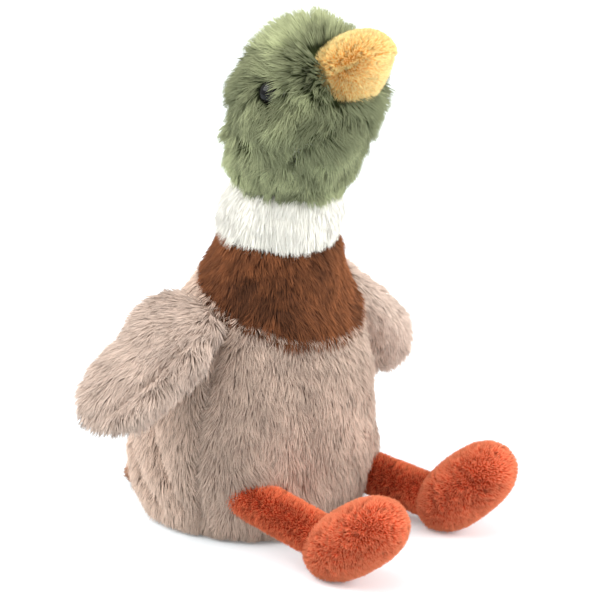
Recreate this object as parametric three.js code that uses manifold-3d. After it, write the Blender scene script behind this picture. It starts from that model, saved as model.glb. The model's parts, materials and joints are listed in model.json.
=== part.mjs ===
// A seated plush duck with a rattle capsule in its stuffing.
// Millimetres and degrees. +Z is up, the beak points towards -Y and the duck's right side is -X.
// The origin is the middle of the base panel, on the surface that the duck sits on.
// Every plush piece is drawn at the mean height of its pile, so a cover's wall is cloth and pile.

import * as THREE from 'three';
import { mergeVertices } from 'three/addons/utils/BufferGeometryUtils.js';
import Module from 'manifold-3d';

const wasm = await Module();
wasm.setup();

// Clearances
const seamGap = 0.3; // between pieces that are sewn or packed together
const turnGap = 0.5; // round a ball or a limb that turns in its seat
const flatDepth = 0.5; // how deep a foot is pressed flat where it stands

// Body, from the floor to the bib
const bodyRadius = 46;
const bodyWidestHeight = 28;
const baseRadius = 33;
const bibSeamHeight = 88;
const bibSeamRadius = 31;
const bodyFullness = 2.4; // how square the form turns in below its widest height
const bodyTaper = 2.2; // how late it narrows above
const bodyPile = 6;
const basePanelRadius = 29;
const basePanelThickness = 4;

// Neck, from the bib to the ball that the head sits on
const neckLean = 13; // of the neck's axis, forward
const bibSeamLean = 20; // of the seam between body and bib
const bibPile = 5;
const bibHeight = 26.5; // up to the collar's seam
const neckRadius = 22;
const neckFlare = 1.4; // how fast the bib narrows to the neck
const collarHeight = 13.5; // from the collar's lower seam to the middle of the ball
const ballRadius = 16;
const plugRadius = 15; // of the stuffing below the ball
const nodRange = 15; // of the head, each way

// Head
const headLean = 12; // of the head's long axis, forward
const rimLean = 4; // of the head's lower rim
const rimRadius = 20;
const headRadius = 30;
const headWidest = 32; // above the ball's middle
const headTop = 65; // above the ball's middle
const rimDrop = 10; // how far the head's form runs on below its rim, before the rim is cut
const headPile = 7;

// Beak
const beakAlong = 54.5; // its middle, along the head's axis from the ball
const beakForward = 18.5; // its middle, in front of the head's axis
const beakPitch = 27; // nose up
const beakHalfWidth = 13.5;
const beakHalfThickness = 11.5;
const beakUpperReach = 16;
const beakLowerReach = 13.5;
const beakFullness = 2.6; // how square its outlines are

// Safety eyes
const eyeAlong = 45.5; // along the head's axis from the ball
const eyeTurn = 7; // forward of straight out to the side
const eyeRadius = 4.5;
const eyeDome = 4; // height of the dome
const eyeSink = 5.2; // from the pile's mean height to the back of the dome
const shankRadius = 1.6;
const shankLength = 7;
const washerRadius = 5;
const washerThickness = 1.4;

// Tail
const tailHalfWidth = 25;
const tailHalfLength = 20;
const tailHalfThickness = 7.5;
const tailBack = 34; // its middle, behind the body's axis
const tailLift = 7; // its middle, above the floor
const tailFloorGap = 0.3;

// Wings
const wingLength = 55; // from the shoulder hinge to the tip
const wingRootHalfChord = 11;
const wingHalfChord = 15.5;
const wingRootHalfThickness = 5;
const wingHalfThickness = 8;
const wingThickest = 0.55; // share of the length, from the root
const wingWidest = 0.6;
const wingPile = 3.5;
const wingSlit = { width: 11, height: 1.75, depth: 27.5 }; // the opening at the root, for stuffing
const shoulderHeight = 81;
// How each wing hangs, and how far it swings down and up from there.
const wingPoses = {
  right: { side: -1, droop: 32, sweep: 13, rootTwist: 20, tipTwist: 20, down: 25, up: 65 },
  left: { side: 1, droop: 54, sweep: -2, rootTwist: 30, tipTwist: 85, down: 3, up: 80 },
};

// Legs and feet
const hipOut = 30; // from the middle plane
const hipForward = 28;
const hipDown = 60; // how far a leg swings down
const hipUp = 50; // how far it swings up
const legRadius = 8.2;
const legLength = 39; // from hip to ankle
const legPile = 2.2;
const ankleHole = 3; // radius of the opening that a leg is stuffed through
const ankleRange = 18; // each way
const footHalfLength = 24;
const footRadius = 12.2;
const footFullness = 2.5; // how square its outline is
const footAhead = 13; // of the foot's middle, in front of the ankle
const footPile = 2.2;
// How a leg lies: its hip's height above the floor, how far outward it points seen from above,
// how far below level from hip to ankle, and how far its toes are up.
const legPoses = {
  right: { hipHeight: 18.8, splay: 2, drop: 8.2, toesUp: 36 },
  left: { hipHeight: 13.2, splay: 0, drop: 3.5, toesUp: 43 },
};

// Rattle
const capsuleHeight = 48; // of its middle, above the floor
const capsuleRadius = 15;
const capsuleWall = 1.5;
const capsuleLip = 2.2; // height of the inner lip that joins the halves
const capsuleLipWall = 0.8;
const ballCount = 4;
const beadRadius = 3;
const beadCircle = 6.4; // radius of the ring that the beads lie on
const beadGap = 0.1; // above the capsule's floor

// Facets
const roundSides = 30;
const innerSides = 20; // of what the covers hide
const limbSides = 14;
const limbEndRings = 4; // on a limb's round end
const smallSides = 12;

const X = new THREE.Vector3(1, 0, 0);
const Z = new THREE.Vector3(0, 0, 1);
const rad = THREE.MathUtils.degToRad;
const reach = 400; // of a cutting block, larger than the duck

// Closed solids

// Welds a geometry into a closed triangle mesh with its faces pointing out.
function weld(geometry) {
  const bare = geometry.clone();
  bare.deleteAttribute('normal');
  bare.deleteAttribute('uv');
  const merged = mergeVertices(bare, 1e-4);
  const index = merged.index.array;
  const p = merged.attributes.position;
  const kept = [];
  const [a, b, c] = [new THREE.Vector3(), new THREE.Vector3(), new THREE.Vector3()];
  let volume = 0;
  for (let i = 0; i < index.length; i += 3) {
    const [u, v, w] = [index[i], index[i + 1], index[i + 2]];
    if (u === v || v === w || w === u) continue;
    kept.push(u, v, w);
    b.fromBufferAttribute(p, v).cross(c.fromBufferAttribute(p, w));
    volume += a.fromBufferAttribute(p, u).dot(b);
  }
  if (volume < 0) kept.reverse();
  merged.setIndex(kept);
  return merged;
}

function solidOf(geometry) {
  const mesh = weld(geometry);
  const vertProperties = new Float32Array(mesh.attributes.position.array);
  const triVerts = new Uint32Array(mesh.index.array);
  return new wasm.Manifold(new wasm.Mesh({ numProp: 3, vertProperties, triVerts }));
}

function geometryOf(solid) {
  const mesh = solid.getMesh();
  const geometry = new THREE.BufferGeometry();
  geometry.setAttribute('position', new THREE.BufferAttribute(new Float32Array(mesh.vertProperties), 3));
  geometry.setIndex(Array.from(mesh.triVerts));
  return geometry;
}

function cut(geometry, ...tools) {
  return geometryOf(tools.reduce((solid, tool) => solid.subtract(solidOf(tool)), solidOf(geometry)));
}

function join(geometry, ...others) {
  return geometryOf(others.reduce((solid, other) => solid.add(solidOf(other)), solidOf(geometry)));
}

function moved(geometry, matrix) {
  return geometry.clone().applyMatrix4(matrix);
}

function moveVertices(geometry, rule) {
  const p = geometry.attributes.position;
  const v = new THREE.Vector3();
  for (let i = 0; i < p.count; i += 1) {
    rule(v.fromBufferAttribute(p, i));
    p.setXYZ(i, v.x, v.y, v.z);
  }
  return geometry;
}

// The points between two heights, both ends included.
function steps(from, to, count) {
  return Array.from({ length: count + 1 }, (_, i) => from + ((to - from) * i) / count);
}

// A round form about Z: radiusAt(height) at each of the heights, closed on the axis at both ends.
function turned(heights, radiusAt, sides) {
  const last = heights.length - 1;
  const profile = heights.map((h) => new THREE.Vector2(radiusAt(h), h));
  profile.unshift(new THREE.Vector2(0, heights[0]));
  profile.push(new THREE.Vector2(0, heights[last]));
  return new THREE.LatheGeometry(profile, sides).rotateX(Math.PI / 2);
}

// A form along Z with an oval section, closed to a point at its first and last station.
function oval(stations, halfWidthAt, halfThicknessAt, sides) {
  const last = stations.length - 1;
  const profile = stations.map((s, i) => new THREE.Vector2(i === 0 || i === last ? 0 : 1, s));
  const unit = new THREE.LatheGeometry(profile, sides).rotateX(Math.PI / 2);
  return moveVertices(unit, (v) => {
    v.x *= halfWidthAt(v.z);
    v.y *= halfThicknessAt(v.z);
  });
}

// The outline of a blunt form: 1 at its middle, falling late to nothing at a share of 1 either way.
function blunt(share, fullness) {
  return Math.max(1 - Math.abs(share) ** fullness, 0) ** (1 / fullness);
}

// A ball whose facets match those of a turned half shell of as many sides.
function ball(centre, radius, sides = innerSides) {
  const form = new THREE.SphereGeometry(radius, sides, sides / 2).rotateX(Math.PI / 2);
  return form.translate(...centre.toArray());
}

function rod(from, to, radius, sides = smallSides) {
  const length = from.distanceTo(to);
  const turn = new THREE.Quaternion().setFromUnitVectors(Z, to.clone().sub(from).normalize());
  return new THREE.CylinderGeometry(radius, radius, length, sides)
    .rotateX(Math.PI / 2)
    .translate(0, 0, length / 2)
    .applyQuaternion(turn)
    .translate(...from.toArray());
}

// A stuffed limb: a rod with round ends about the points from and to.
function limb(from, to, radius, sides = limbSides) {
  const length = from.distanceTo(to);
  const turn = new THREE.Quaternion().setFromUnitVectors(Z, to.clone().sub(from).normalize());
  return new THREE.CapsuleGeometry(radius, length, limbEndRings, sides)
    .rotateX(Math.PI / 2)
    .translate(0, 0, length / 2)
    .applyQuaternion(turn)
    .translate(...from.toArray());
}

// The direction of an axis that leans forward by an angle from upright.
function leaning(degrees) {
  return new THREE.Vector3(0, -Math.sin(rad(degrees)), Math.cos(rad(degrees)));
}

// The block on the far side of a plane, to cut with.
function beyond(point, normal) {
  const turn = new THREE.Quaternion().setFromUnitVectors(Z, normal.clone().normalize());
  return new THREE.BoxGeometry(reach, reach, reach)
    .translate(0, 0, reach / 2)
    .applyQuaternion(turn)
    .translate(...point.toArray());
}

// What a limb of the given radius clears as it swings about a hinge: a fan with a round heel, as
// thick as the limb. Angles are from the frame's forward direction, in the plane across the axis.
function swingSeat(frame, radius, length, fromDegrees, toDegrees) {
  const from = rad(fromDegrees);
  const to = rad(toDegrees);
  const arc = (r, start, end, count) =>
    steps(start, end, count).map((t) => new THREE.Vector2(r * Math.cos(t), r * Math.sin(t)));
  const heel = arc(radius, to + Math.PI / 2, from + 1.5 * Math.PI, 8);
  const far = arc(length, from, to, 4);
  const side = (angle, turn) =>
    new THREE.Vector2(length, turn * radius).rotateAround(new THREE.Vector2(), angle);
  const outline = [...heel, side(from, -1), ...far, side(to, 1)];
  const extent = { depth: 2 * radius, bevelEnabled: false };
  const fan = new THREE.ExtrudeGeometry(new THREE.Shape(outline), extent);
  return moved(fan.translate(0, 0, -radius), frame);
}

// The torso: body and neck as one form about a spine that curves forward

const collarSeamHeight = bibSeamHeight + bibHeight * Math.cos(rad(neckLean));
const nodHeight = collarSeamHeight + collarHeight * Math.cos(rad(neckLean));

// How far forward the spine lies at a height: a parabola up to the bib, then straight.
function spine(height) {
  const slope = Math.tan(rad(neckLean));
  if (height <= bibSeamHeight) return (-slope * height * height) / (2 * bibSeamHeight);
  return -slope * (height - bibSeamHeight / 2);
}

function torsoRadius(height) {
  if (height < bodyWidestHeight) {
    const drop = (bodyWidestHeight - Math.max(height, 0)) / bodyWidestHeight;
    return baseRadius + (bodyRadius - baseRadius) * (1 - drop ** bodyFullness) ** (1 / bodyFullness);
  }
  if (height < bibSeamHeight) {
    const rise = (height - bodyWidestHeight) / (bibSeamHeight - bodyWidestHeight);
    return bibSeamRadius + (bodyRadius - bibSeamRadius) * (1 - rise ** bodyTaper);
  }
  const rise = Math.min((height - bibSeamHeight) / (collarSeamHeight - bibSeamHeight), 1);
  return neckRadius + (bibSeamRadius - neckRadius) * (1 - rise) ** neckFlare;
}

const torsoHeights = [
  ...steps(0, 1, 5).map((t) => bodyWidestHeight * t * t),
  ...steps(bodyWidestHeight, bibSeamHeight, 7).slice(1),
  ...steps(bibSeamHeight, collarSeamHeight, 4).slice(1),
  nodHeight + ballRadius,
];

// The torso's form, drawn in by an inset all round.
function torso(inset, sides = roundSides) {
  const form = turned(torsoHeights, (h) => torsoRadius(h) - inset, sides);
  return moveVertices(form, (v) => {
    v.y += spine(v.z);
  });
}

function spinePoint(height) {
  return new THREE.Vector3(0, spine(height), height);
}

const bibSeam = { point: spinePoint(bibSeamHeight), normal: leaning(bibSeamLean) };
const collarSeam = { point: spinePoint(collarSeamHeight), normal: leaning(neckLean) };
const ballCentre = spinePoint(nodHeight);

function above(plane, lift = 0) {
  return beyond(plane.point.clone().addScaledVector(plane.normal, lift), plane.normal);
}

function below(plane, drop = 0) {
  return beyond(plane.point.clone().addScaledVector(plane.normal, -drop), plane.normal.clone().negate());
}

const outerTorso = torso(0);

// Hips and ankles

function legPose(side) {
  return side > 0 ? legPoses.left : legPoses.right;
}

// A leg's hip and ankle, the way it points, and the axis that both joints turn about.
function limbPoints(side) {
  const hip = new THREE.Vector3(side * hipOut, -hipForward, legPose(side).hipHeight);
  const splay = rad(legPose(side).splay);
  const drop = rad(legPose(side).drop);
  const ahead = new THREE.Vector3(side * Math.sin(splay), -Math.cos(splay), 0);
  const along = ahead
    .clone()
    .multiplyScalar(Math.cos(drop))
    .addScaledVector(Z, -Math.sin(drop));
  const ankle = hip.clone().addScaledVector(along, legLength);
  return { hip, ankle, along, axis: ahead.clone().cross(Z) };
}

function legForm(side, inset) {
  const { hip, ankle } = limbPoints(side);
  return limb(hip, ankle, legRadius - inset);
}

// The frame of a joint of the leg: X along a direction, Z along the joint's axis.
function jointFrame(centre, direction, axis) {
  const across = axis.clone().cross(direction);
  return new THREE.Matrix4().makeBasis(direction, across, axis).setPosition(centre);
}

const hipSeats = [-1, 1].map((side) => {
  const { hip, along, axis } = limbPoints(side);
  return swingSeat(jointFrame(hip, along, axis), legRadius + turnGap, legLength, -hipDown, hipUp);
});

// Rattle capsule and beads, in the middle of the body's stuffing

const capsuleCentre = spinePoint(capsuleHeight);
const capsuleInside = capsuleRadius - capsuleWall;

// Half of a hollow ball, from its rim down to the pole.
function halfShell(outer, inner, lip) {
  const arc = steps(0, Math.PI / 2, 5);
  const outside = arc.map((t) => new THREE.Vector2(outer * Math.cos(t), -outer * Math.sin(t)));
  const inside = arc.map((t) => new THREE.Vector2(inner * Math.cos(t), -inner * Math.sin(t))).reverse();
  outside[arc.length - 1].x = 0;
  inside[0].x = 0;
  const profile = [...outside, ...inside];
  if (lip > 0) {
    const lipOuter = inner - seamGap;
    const foot = -lip;
    const turnedIn = inside.filter((p) => p.y < foot);
    profile.length = outside.length;
    profile.push(...turnedIn, new THREE.Vector2(lipOuter - capsuleLipWall, foot));
    profile.push(new THREE.Vector2(lipOuter - capsuleLipWall, lip), new THREE.Vector2(lipOuter, lip));
    profile.push(new THREE.Vector2(lipOuter, 0));
  }
  profile.push(profile[0].clone());
  return new THREE.LatheGeometry(profile, innerSides).rotateX(Math.PI / 2);
}

function capsuleHalves() {
  const bottom = halfShell(capsuleRadius, capsuleInside, capsuleLip);
  const top = halfShell(capsuleRadius, capsuleInside, 0).rotateX(Math.PI).translate(0, 0, seamGap / 2);
  return { bottom: bottom.translate(0, 0, -seamGap / 2), top };
}

function beadPlaces() {
  const rest = capsuleInside - beadRadius - beadGap;
  const depth = Math.sqrt(rest * rest - beadCircle * beadCircle) - seamGap / 2;
  return Array.from({ length: ballCount }, (_, i) => {
    const turn = (2 * Math.PI * (i + 0.5)) / ballCount;
    const offset = new THREE.Vector3(beadCircle * Math.cos(turn), beadCircle * Math.sin(turn), -depth);
    return offset.add(capsuleCentre);
  });
}

// Body

function bodyCavity(inset) {
  const hollow = torso(bodyPile + inset, innerSides);
  const floorBlock = beyond(new THREE.Vector3(0, 0, basePanelThickness + inset), Z.clone().negate());
  return cut(hollow, floorBlock);
}

function bodyCover() {
  const panelHole = rod(
    new THREE.Vector3(0, 0, -basePanelThickness),
    new THREE.Vector3(0, 0, basePanelThickness + seamGap),
    basePanelRadius + seamGap,
    roundSides,
  );
  return cut(outerTorso, above(bibSeam), bodyCavity(0), panelHole, ...hipSeats);
}

function basePanel() {
  const top = new THREE.Vector3(0, 0, basePanelThickness);
  return rod(new THREE.Vector3(), top, basePanelRadius, roundSides);
}

function bodyStuffing() {
  const fill = cut(
    bodyCavity(seamGap),
    above(bibSeam),
    ball(capsuleCentre, capsuleRadius + seamGap),
    ...hipSeats,
  );
  const split = { point: capsuleCentre, normal: Z };
  return { lower: cut(fill, above(split, -seamGap / 2)), upper: cut(fill, below(split, -seamGap / 2)) };
}

function tail() {
  const form = new THREE.SphereGeometry(1, innerSides, 12)
    .scale(tailHalfWidth, tailHalfLength, tailHalfThickness)
    .translate(0, tailBack, tailLift);
  const floorBlock = beyond(new THREE.Vector3(0, 0, tailFloorGap), Z.clone().negate());
  return cut(form, torso(-seamGap), floorBlock);
}

// Neck

function neckBib() {
  return cut(outerTorso, below(bibSeam, -seamGap), above(collarSeam), torso(bibPile, innerSides));
}

function neckStuffing() {
  return cut(torso(bibPile + seamGap, innerSides), below(bibSeam, -seamGap), above(collarSeam));
}

function neckCollar() {
  const bore = rod(spinePoint(bibSeamHeight), ballCentre, plugRadius + seamGap, innerSides);
  const roof = [-1, 1].map((way) => ({
    point: ballCentre,
    normal: leaning(rimLean + way * nodRange),
  }));
  const tools = [bore, ball(ballCentre, ballRadius + turnGap), ...roof.map((plane) => above(plane))];
  return cut(outerTorso, below(collarSeam, -seamGap), ...tools);
}

function collarStuffing() {
  const neck = rod(spinePoint(bibSeamHeight), ballCentre, plugRadius, innerSides);
  return cut(join(neck, ball(ballCentre, ballRadius)), below(collarSeam, -seamGap));
}

// Head

const headAxis = leaning(headLean);
const headFront = new THREE.Vector3(0, -Math.cos(rad(headLean)), -Math.sin(rad(headLean)));
const rim = { point: ballCentre, normal: leaning(rimLean) };

function headFormRadius(along) {
  if (along <= 0) return rimRadius;
  if (along < headWidest) {
    return rimRadius + (headRadius - rimRadius) * Math.sin((Math.PI * along) / (2 * headWidest));
  }
  const rise = (along - headWidest) / (headTop - headWidest);
  return headRadius * Math.sqrt(Math.max(1 - rise * rise, 0));
}

const headPlace = new THREE.Matrix4()
  .makeTranslation(...ballCentre.toArray())
  .multiply(new THREE.Matrix4().makeRotationX(rad(headLean)));

// The head's form, drawn in by an inset all round.
function headForm(inset, sides = roundSides) {
  const crown = steps(0, Math.PI / 2, 7).map((t) => headWidest + (headTop - headWidest) * Math.sin(t));
  const heights = [-rimDrop, ...steps(0, headWidest, 5), ...crown.slice(1)];
  const shrink = (headTop - headWidest - inset) / (headTop - headWidest);
  const form = turned(heights, (h) => Math.max(headFormRadius(h) - inset, 0), sides);
  moveVertices(form, (v) => {
    if (v.z > headWidest) v.z = headWidest + (v.z - headWidest) * shrink;
  });
  return moved(form, headPlace);
}

const outerHead = headForm(0);
const socket = ball(ballCentre, ballRadius + turnGap);

// Where an eye sits: the point on the head's form, and the direction that it looks in.
function eyeSeat(side) {
  const out = new THREE.Vector3(side * Math.cos(rad(eyeTurn)), 0, 0);
  out.addScaledVector(headFront, Math.sin(rad(eyeTurn)));
  const radius = headFormRadius(eyeAlong);
  const rise = (eyeAlong - headWidest) / (headTop - headWidest) ** 2;
  const look = out.clone().multiplyScalar(radius / headRadius ** 2);
  look.addScaledVector(headAxis, rise).normalize();
  const point = ballCentre.clone().addScaledVector(headAxis, eyeAlong).addScaledVector(out, radius);
  return { point, look };
}

function depthPoint(seat, depth) {
  return seat.point.clone().addScaledVector(seat.look, -depth);
}

const eyeSeats = { left: eyeSeat(1), right: eyeSeat(-1) };
const shankEnd = eyeSink + shankLength;

// Where a washer lies flat against the cloth, and room for it towards the stuffing.
function washerPocket(seat, gap) {
  return rod(depthPoint(seat, shankEnd + gap), depthPoint(seat, headPile - gap), washerRadius + seamGap);
}

function headCover() {
  const holes = Object.values(eyeSeats).flatMap((seat) => [
    rod(depthPoint(seat, eyeSink + seamGap), depthPoint(seat, -eyeSink), eyeRadius + seamGap),
    rod(depthPoint(seat, shankEnd), depthPoint(seat, 0), shankRadius + seamGap),
    washerPocket(seat, 0),
  ]);
  return cut(outerHead, below(rim, -seamGap), headForm(headPile, innerSides), socket, ...holes);
}

function headStuffing() {
  const pockets = Object.values(eyeSeats).map((seat) => washerPocket(seat, seamGap));
  return cut(headForm(headPile + seamGap, innerSides), below(rim, -seamGap), socket, ...pockets);
}

// A safety eye about Z: dome up, shank down, with the dome's flat back at the origin.
function eyeForm() {
  const dome = steps(0, Math.PI / 2, 5).map(
    (t) => new THREE.Vector2(eyeRadius * Math.cos(t), eyeDome * Math.sin(t)),
  );
  dome[dome.length - 1].x = 0;
  const profile = [
    new THREE.Vector2(0, -shankLength),
    new THREE.Vector2(shankRadius, -shankLength),
    new THREE.Vector2(shankRadius, 0),
    ...dome,
  ];
  return new THREE.LatheGeometry(profile, smallSides).rotateX(Math.PI / 2);
}

function washerForm() {
  const bore = shankRadius + seamGap;
  const profile = [
    new THREE.Vector2(bore, 0),
    new THREE.Vector2(washerRadius, 0),
    new THREE.Vector2(washerRadius, washerThickness),
    new THREE.Vector2(bore, washerThickness),
    new THREE.Vector2(bore, 0),
  ];
  return new THREE.LatheGeometry(profile, smallSides).rotateX(Math.PI / 2);
}

// Beak

const beakAxis = new THREE.Vector3(0, -Math.cos(rad(beakPitch)), Math.sin(rad(beakPitch)));
const beakUp = new THREE.Vector3(0, Math.sin(rad(beakPitch)), Math.cos(rad(beakPitch)));
const beakCentre = ballCentre
  .clone()
  .addScaledVector(headAxis, beakAlong)
  .addScaledVector(headFront, beakForward);

// One half of the beak: a blunt rounded form with the given reach, on one side of the mouth seam.
function beakHalf(beakReach, side) {
  const stations = steps(-Math.PI / 2, Math.PI / 2, 10).map((t) => beakReach * Math.sin(t));
  const halfWidthAt = (s) => beakHalfWidth * blunt(s / beakReach, beakFullness);
  const halfThicknessAt = (s) => beakHalfThickness * blunt(s / beakReach, beakFullness);
  const form = oval(stations, halfWidthAt, halfThicknessAt, innerSides);
  const place = new THREE.Matrix4().makeBasis(X, beakUp.clone().negate(), beakAxis);
  place.setPosition(beakCentre);
  const seam = { point: beakCentre, normal: beakUp.clone().multiplyScalar(side) };
  return cut(moved(form, place), below(seam, -seamGap / 2), headForm(-seamGap));
}

// Wings

// A half size along the wing: round at the root, growing to its full size, round at the tip.
function wingHalfSize(s, root, full, fullAt) {
  if (s < 0) return root * Math.sqrt(Math.max(1 - (s / wingRootHalfThickness) ** 2, 0));
  const widest = wingLength * fullAt;
  if (s < widest) return root + (full - root) * Math.sin((Math.PI * s) / (2 * widest));
  return full * Math.sqrt(Math.max(1 - ((s - widest) / (wingLength - widest)) ** 2, 0));
}

function wingHalfThicknessAt(s) {
  return wingHalfSize(s, wingRootHalfThickness, wingHalfThickness, wingThickest);
}

function wingHalfChordAt(s) {
  return wingHalfSize(s, wingRootHalfChord, wingHalfChord, wingWidest);
}

// The shoulder hinge: a point just off the body, the wing's own axes there, and the hinge's axis,
// which lies along the body's surface and turns the wing up.
function shoulder(pose) {
  const rise = (shoulderHeight - bodyWidestHeight) / (bibSeamHeight - bodyWidestHeight);
  const narrowing = (bodyTaper * (bodyRadius - bibSeamRadius)) / (bibSeamHeight - bodyWidestHeight);
  const out = new THREE.Vector3(pose.side, 0, narrowing * rise ** (bodyTaper - 1)).normalize();
  const pivot = spinePoint(shoulderHeight).addScaledVector(X, pose.side * torsoRadius(shoulderHeight));
  pivot.addScaledVector(out, wingRootHalfThickness + seamGap);
  const level = Math.cos(rad(pose.droop));
  const along = new THREE.Vector3(
    pose.side * level * Math.cos(rad(pose.sweep)),
    level * Math.sin(rad(pose.sweep)),
    -Math.sin(rad(pose.droop)),
  );
  const chord = new THREE.Vector3(0, Math.cos(rad(pose.rootTwist)), Math.sin(rad(pose.rootTwist)));
  chord.addScaledVector(along, -chord.dot(along)).normalize();
  const axis = chord.clone().addScaledVector(out, -chord.dot(out)).setLength(-pose.side);
  const frame = new THREE.Matrix4().makeBasis(chord, along.clone().cross(chord), along);
  frame.setPosition(pivot);
  return { pivot, axis, frame };
}

function turnedAbout(geometry, { pivot, axis }, degrees) {
  return geometry
    .clone()
    .translate(-pivot.x, -pivot.y, -pivot.z)
    .applyQuaternion(new THREE.Quaternion().setFromAxisAngle(axis, rad(degrees)))
    .translate(...pivot.toArray());
}

// The torso as a wing meets it through its swing.
function torsoPastWing(pose) {
  const clear = torso(-seamGap);
  const joint = shoulder(pose);
  return [pose.down, 0, -pose.up / 2, -pose.up].map((degrees) => turnedAbout(clear, joint, degrees));
}

// Twists a form about the wing's length, so that its chord turns from root to tip, and places it.
function wingPlaced(form, pose) {
  const most = pose.side * rad(pose.rootTwist - pose.tipTwist);
  const twisted = moveVertices(form, (v) => {
    v.applyAxisAngle(Z, most * THREE.MathUtils.clamp(v.z / (wingLength * wingWidest), 0, 1));
  });
  return moved(twisted, shoulder(pose).frame);
}

function wingForm(pose) {
  const root = steps(-Math.PI / 2, 0, 2).map((t) => wingRootHalfThickness * Math.sin(t));
  const blade = steps(0, Math.PI / 2, 8).map((t) => wingLength * Math.sin(t));
  const form = oval([...root, ...blade.slice(1)], wingHalfChordAt, wingHalfThicknessAt, innerSides);
  return wingPlaced(form, pose);
}

// The hollow of a wing, drawn in by an inset, from a distance off the hinge to near the tip.
function wingHollow(pose, inset, from) {
  const end = wingLength - wingPile - inset;
  const blade = steps(0, Math.PI / 2, 7).map((t) => end * Math.sin(t));
  const stations = [from, ...blade.slice(1)];
  const drawnIn = (halfSizeAt) => (s) =>
    Math.max(halfSizeAt((s * wingLength) / end) - wingPile - inset, 0);
  const form = oval(stations, drawnIn(wingHalfChordAt), drawnIn(wingHalfThicknessAt), limbSides);
  return wingPlaced(form, pose);
}

function wingCover(pose) {
  const slit = new THREE.BoxGeometry(wingSlit.width, wingSlit.height, wingSlit.depth);
  const hollow = join(wingHollow(pose, 0, 0), moved(slit, shoulder(pose).frame));
  return cut(wingForm(pose), hollow, ...torsoPastWing(pose));
}

function wingStuffing(pose) {
  return wingHollow(pose, seamGap, wingPile);
}

// Legs

function legCover(side) {
  const { hip, ankle } = limbPoints(side);
  const past = ankle.clone().sub(hip).setLength(2 * legRadius).add(ankle);
  return cut(legForm(side, 0), legForm(side, legPile), rod(ankle, past, ankleHole));
}

function legStuffing(side) {
  return legForm(side, legPile + seamGap);
}

// Feet

function pitchOf(side) {
  return rad(legPose(side).toesUp);
}

// A foot's middle: ahead of the ankle, and as high as lets its heel stand on the floor.
function footCentre(side) {
  const { ankle, axis } = limbPoints(side);
  const lengthwise = footHalfLength * Math.sin(pitchOf(side));
  const across = footRadius * Math.cos(pitchOf(side));
  const centre = ankle.clone().addScaledVector(Z.clone().cross(axis), footAhead);
  const dual = footFullness / (footFullness - 1);
  return centre.setZ((lengthwise ** dual + across ** dual) ** (1 / dual) - flatDepth);
}

function footForm(side, inset, sides = innerSides) {
  const length = footHalfLength - inset;
  const halfAt = (s) => (footRadius - inset) * blunt(s / length, footFullness);
  const rings = steps(-Math.PI / 2, Math.PI / 2, Math.round(sides * 0.6));
  const stations = rings.map((t) => length * Math.sin(t));
  return oval(stations, halfAt, halfAt, sides)
    .rotateX(Math.PI / 2 - pitchOf(side))
    .rotateZ(side * rad(legPose(side).splay))
    .translate(...footCentre(side).toArray());
}

function ankleSeat(side) {
  const { ankle, along, axis } = limbPoints(side);
  const back = along.clone().negate();
  const frame = jointFrame(ankle, back, axis);
  return swingSeat(frame, legRadius + turnGap, legLength, -ankleRange, ankleRange);
}

const floor = { point: new THREE.Vector3(), normal: Z };

function footCover(side) {
  return cut(footForm(side, 0), below(floor), ankleSeat(side), footForm(side, footPile, limbSides));
}

function footStuffing(side) {
  return cut(footForm(side, footPile + seamGap, limbSides), ankleSeat(side));
}

// Finishes, named for the cloth or plastic

const finish = {
  taupePlush: { color: 0xb8a698, roughness: 0.95 },
  greenPlush: { color: 0x7d8f63, roughness: 0.95 },
  whitePlush: { color: 0xf1ede6, roughness: 0.95 },
  brownPlush: { color: 0x7c492b, roughness: 0.95 },
  rustPlush: { color: 0xb9522f, roughness: 0.9 },
  yellowPlush: { color: 0xe7ac55, roughness: 0.9 },
  paleYellowPlush: { color: 0xe6bb6c, roughness: 0.9 },
  fibre: { color: 0xf4f4f0, roughness: 1 },
  blackPlastic: { color: 0x121212, roughness: 0.12 },
  washerPlastic: { color: 0xe9e9e4, roughness: 0.5 },
  capsulePlastic: { color: 0xdfe6ea, roughness: 0.3 },
  beadPlastic: { color: 0xd8402e, roughness: 0.3 },
};

const duck = new THREE.Group();
duck.name = 'plush_rattle_duck';

function piece(name, geometry, look, parent = duck) {
  const material = new THREE.MeshStandardMaterial({ ...look, metalness: 0 });
  const mesh = new THREE.Mesh(weld(geometry), material);
  mesh.name = name;
  parent.add(mesh);
  return mesh;
}

function group(name, parent = duck) {
  const holder = new THREE.Group();
  holder.name = name;
  parent.add(holder);
  return holder;
}

function addBody() {
  const body = group('body');
  const stuffing = bodyStuffing();
  piece('body_cover', bodyCover(), finish.taupePlush, body);
  piece('base_panel', basePanel(), finish.taupePlush, body);
  piece('body_stuffing_lower', stuffing.lower, finish.fibre, body);
  piece('body_stuffing_upper', stuffing.upper, finish.fibre, body);
  piece('tail', tail(), finish.brownPlush, body);
  piece('neck_bib', neckBib(), finish.brownPlush, body);
  piece('neck_stuffing', neckStuffing(), finish.fibre, body);
}

function addRattle() {
  const rattle = group('rattle');
  const { bottom, top } = capsuleHalves();
  piece('rattle_capsule_bottom', bottom, finish.capsulePlastic, rattle).position.copy(capsuleCentre);
  piece('rattle_capsule_top', top, finish.capsulePlastic, rattle).position.copy(capsuleCentre);
  beadPlaces().forEach((place, i) => {
    const bead = new THREE.SphereGeometry(beadRadius, smallSides, smallSides / 2);
    piece(`rattle_ball_${i + 1}`, bead, finish.beadPlastic, rattle).position.copy(place);
  });
}

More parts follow.
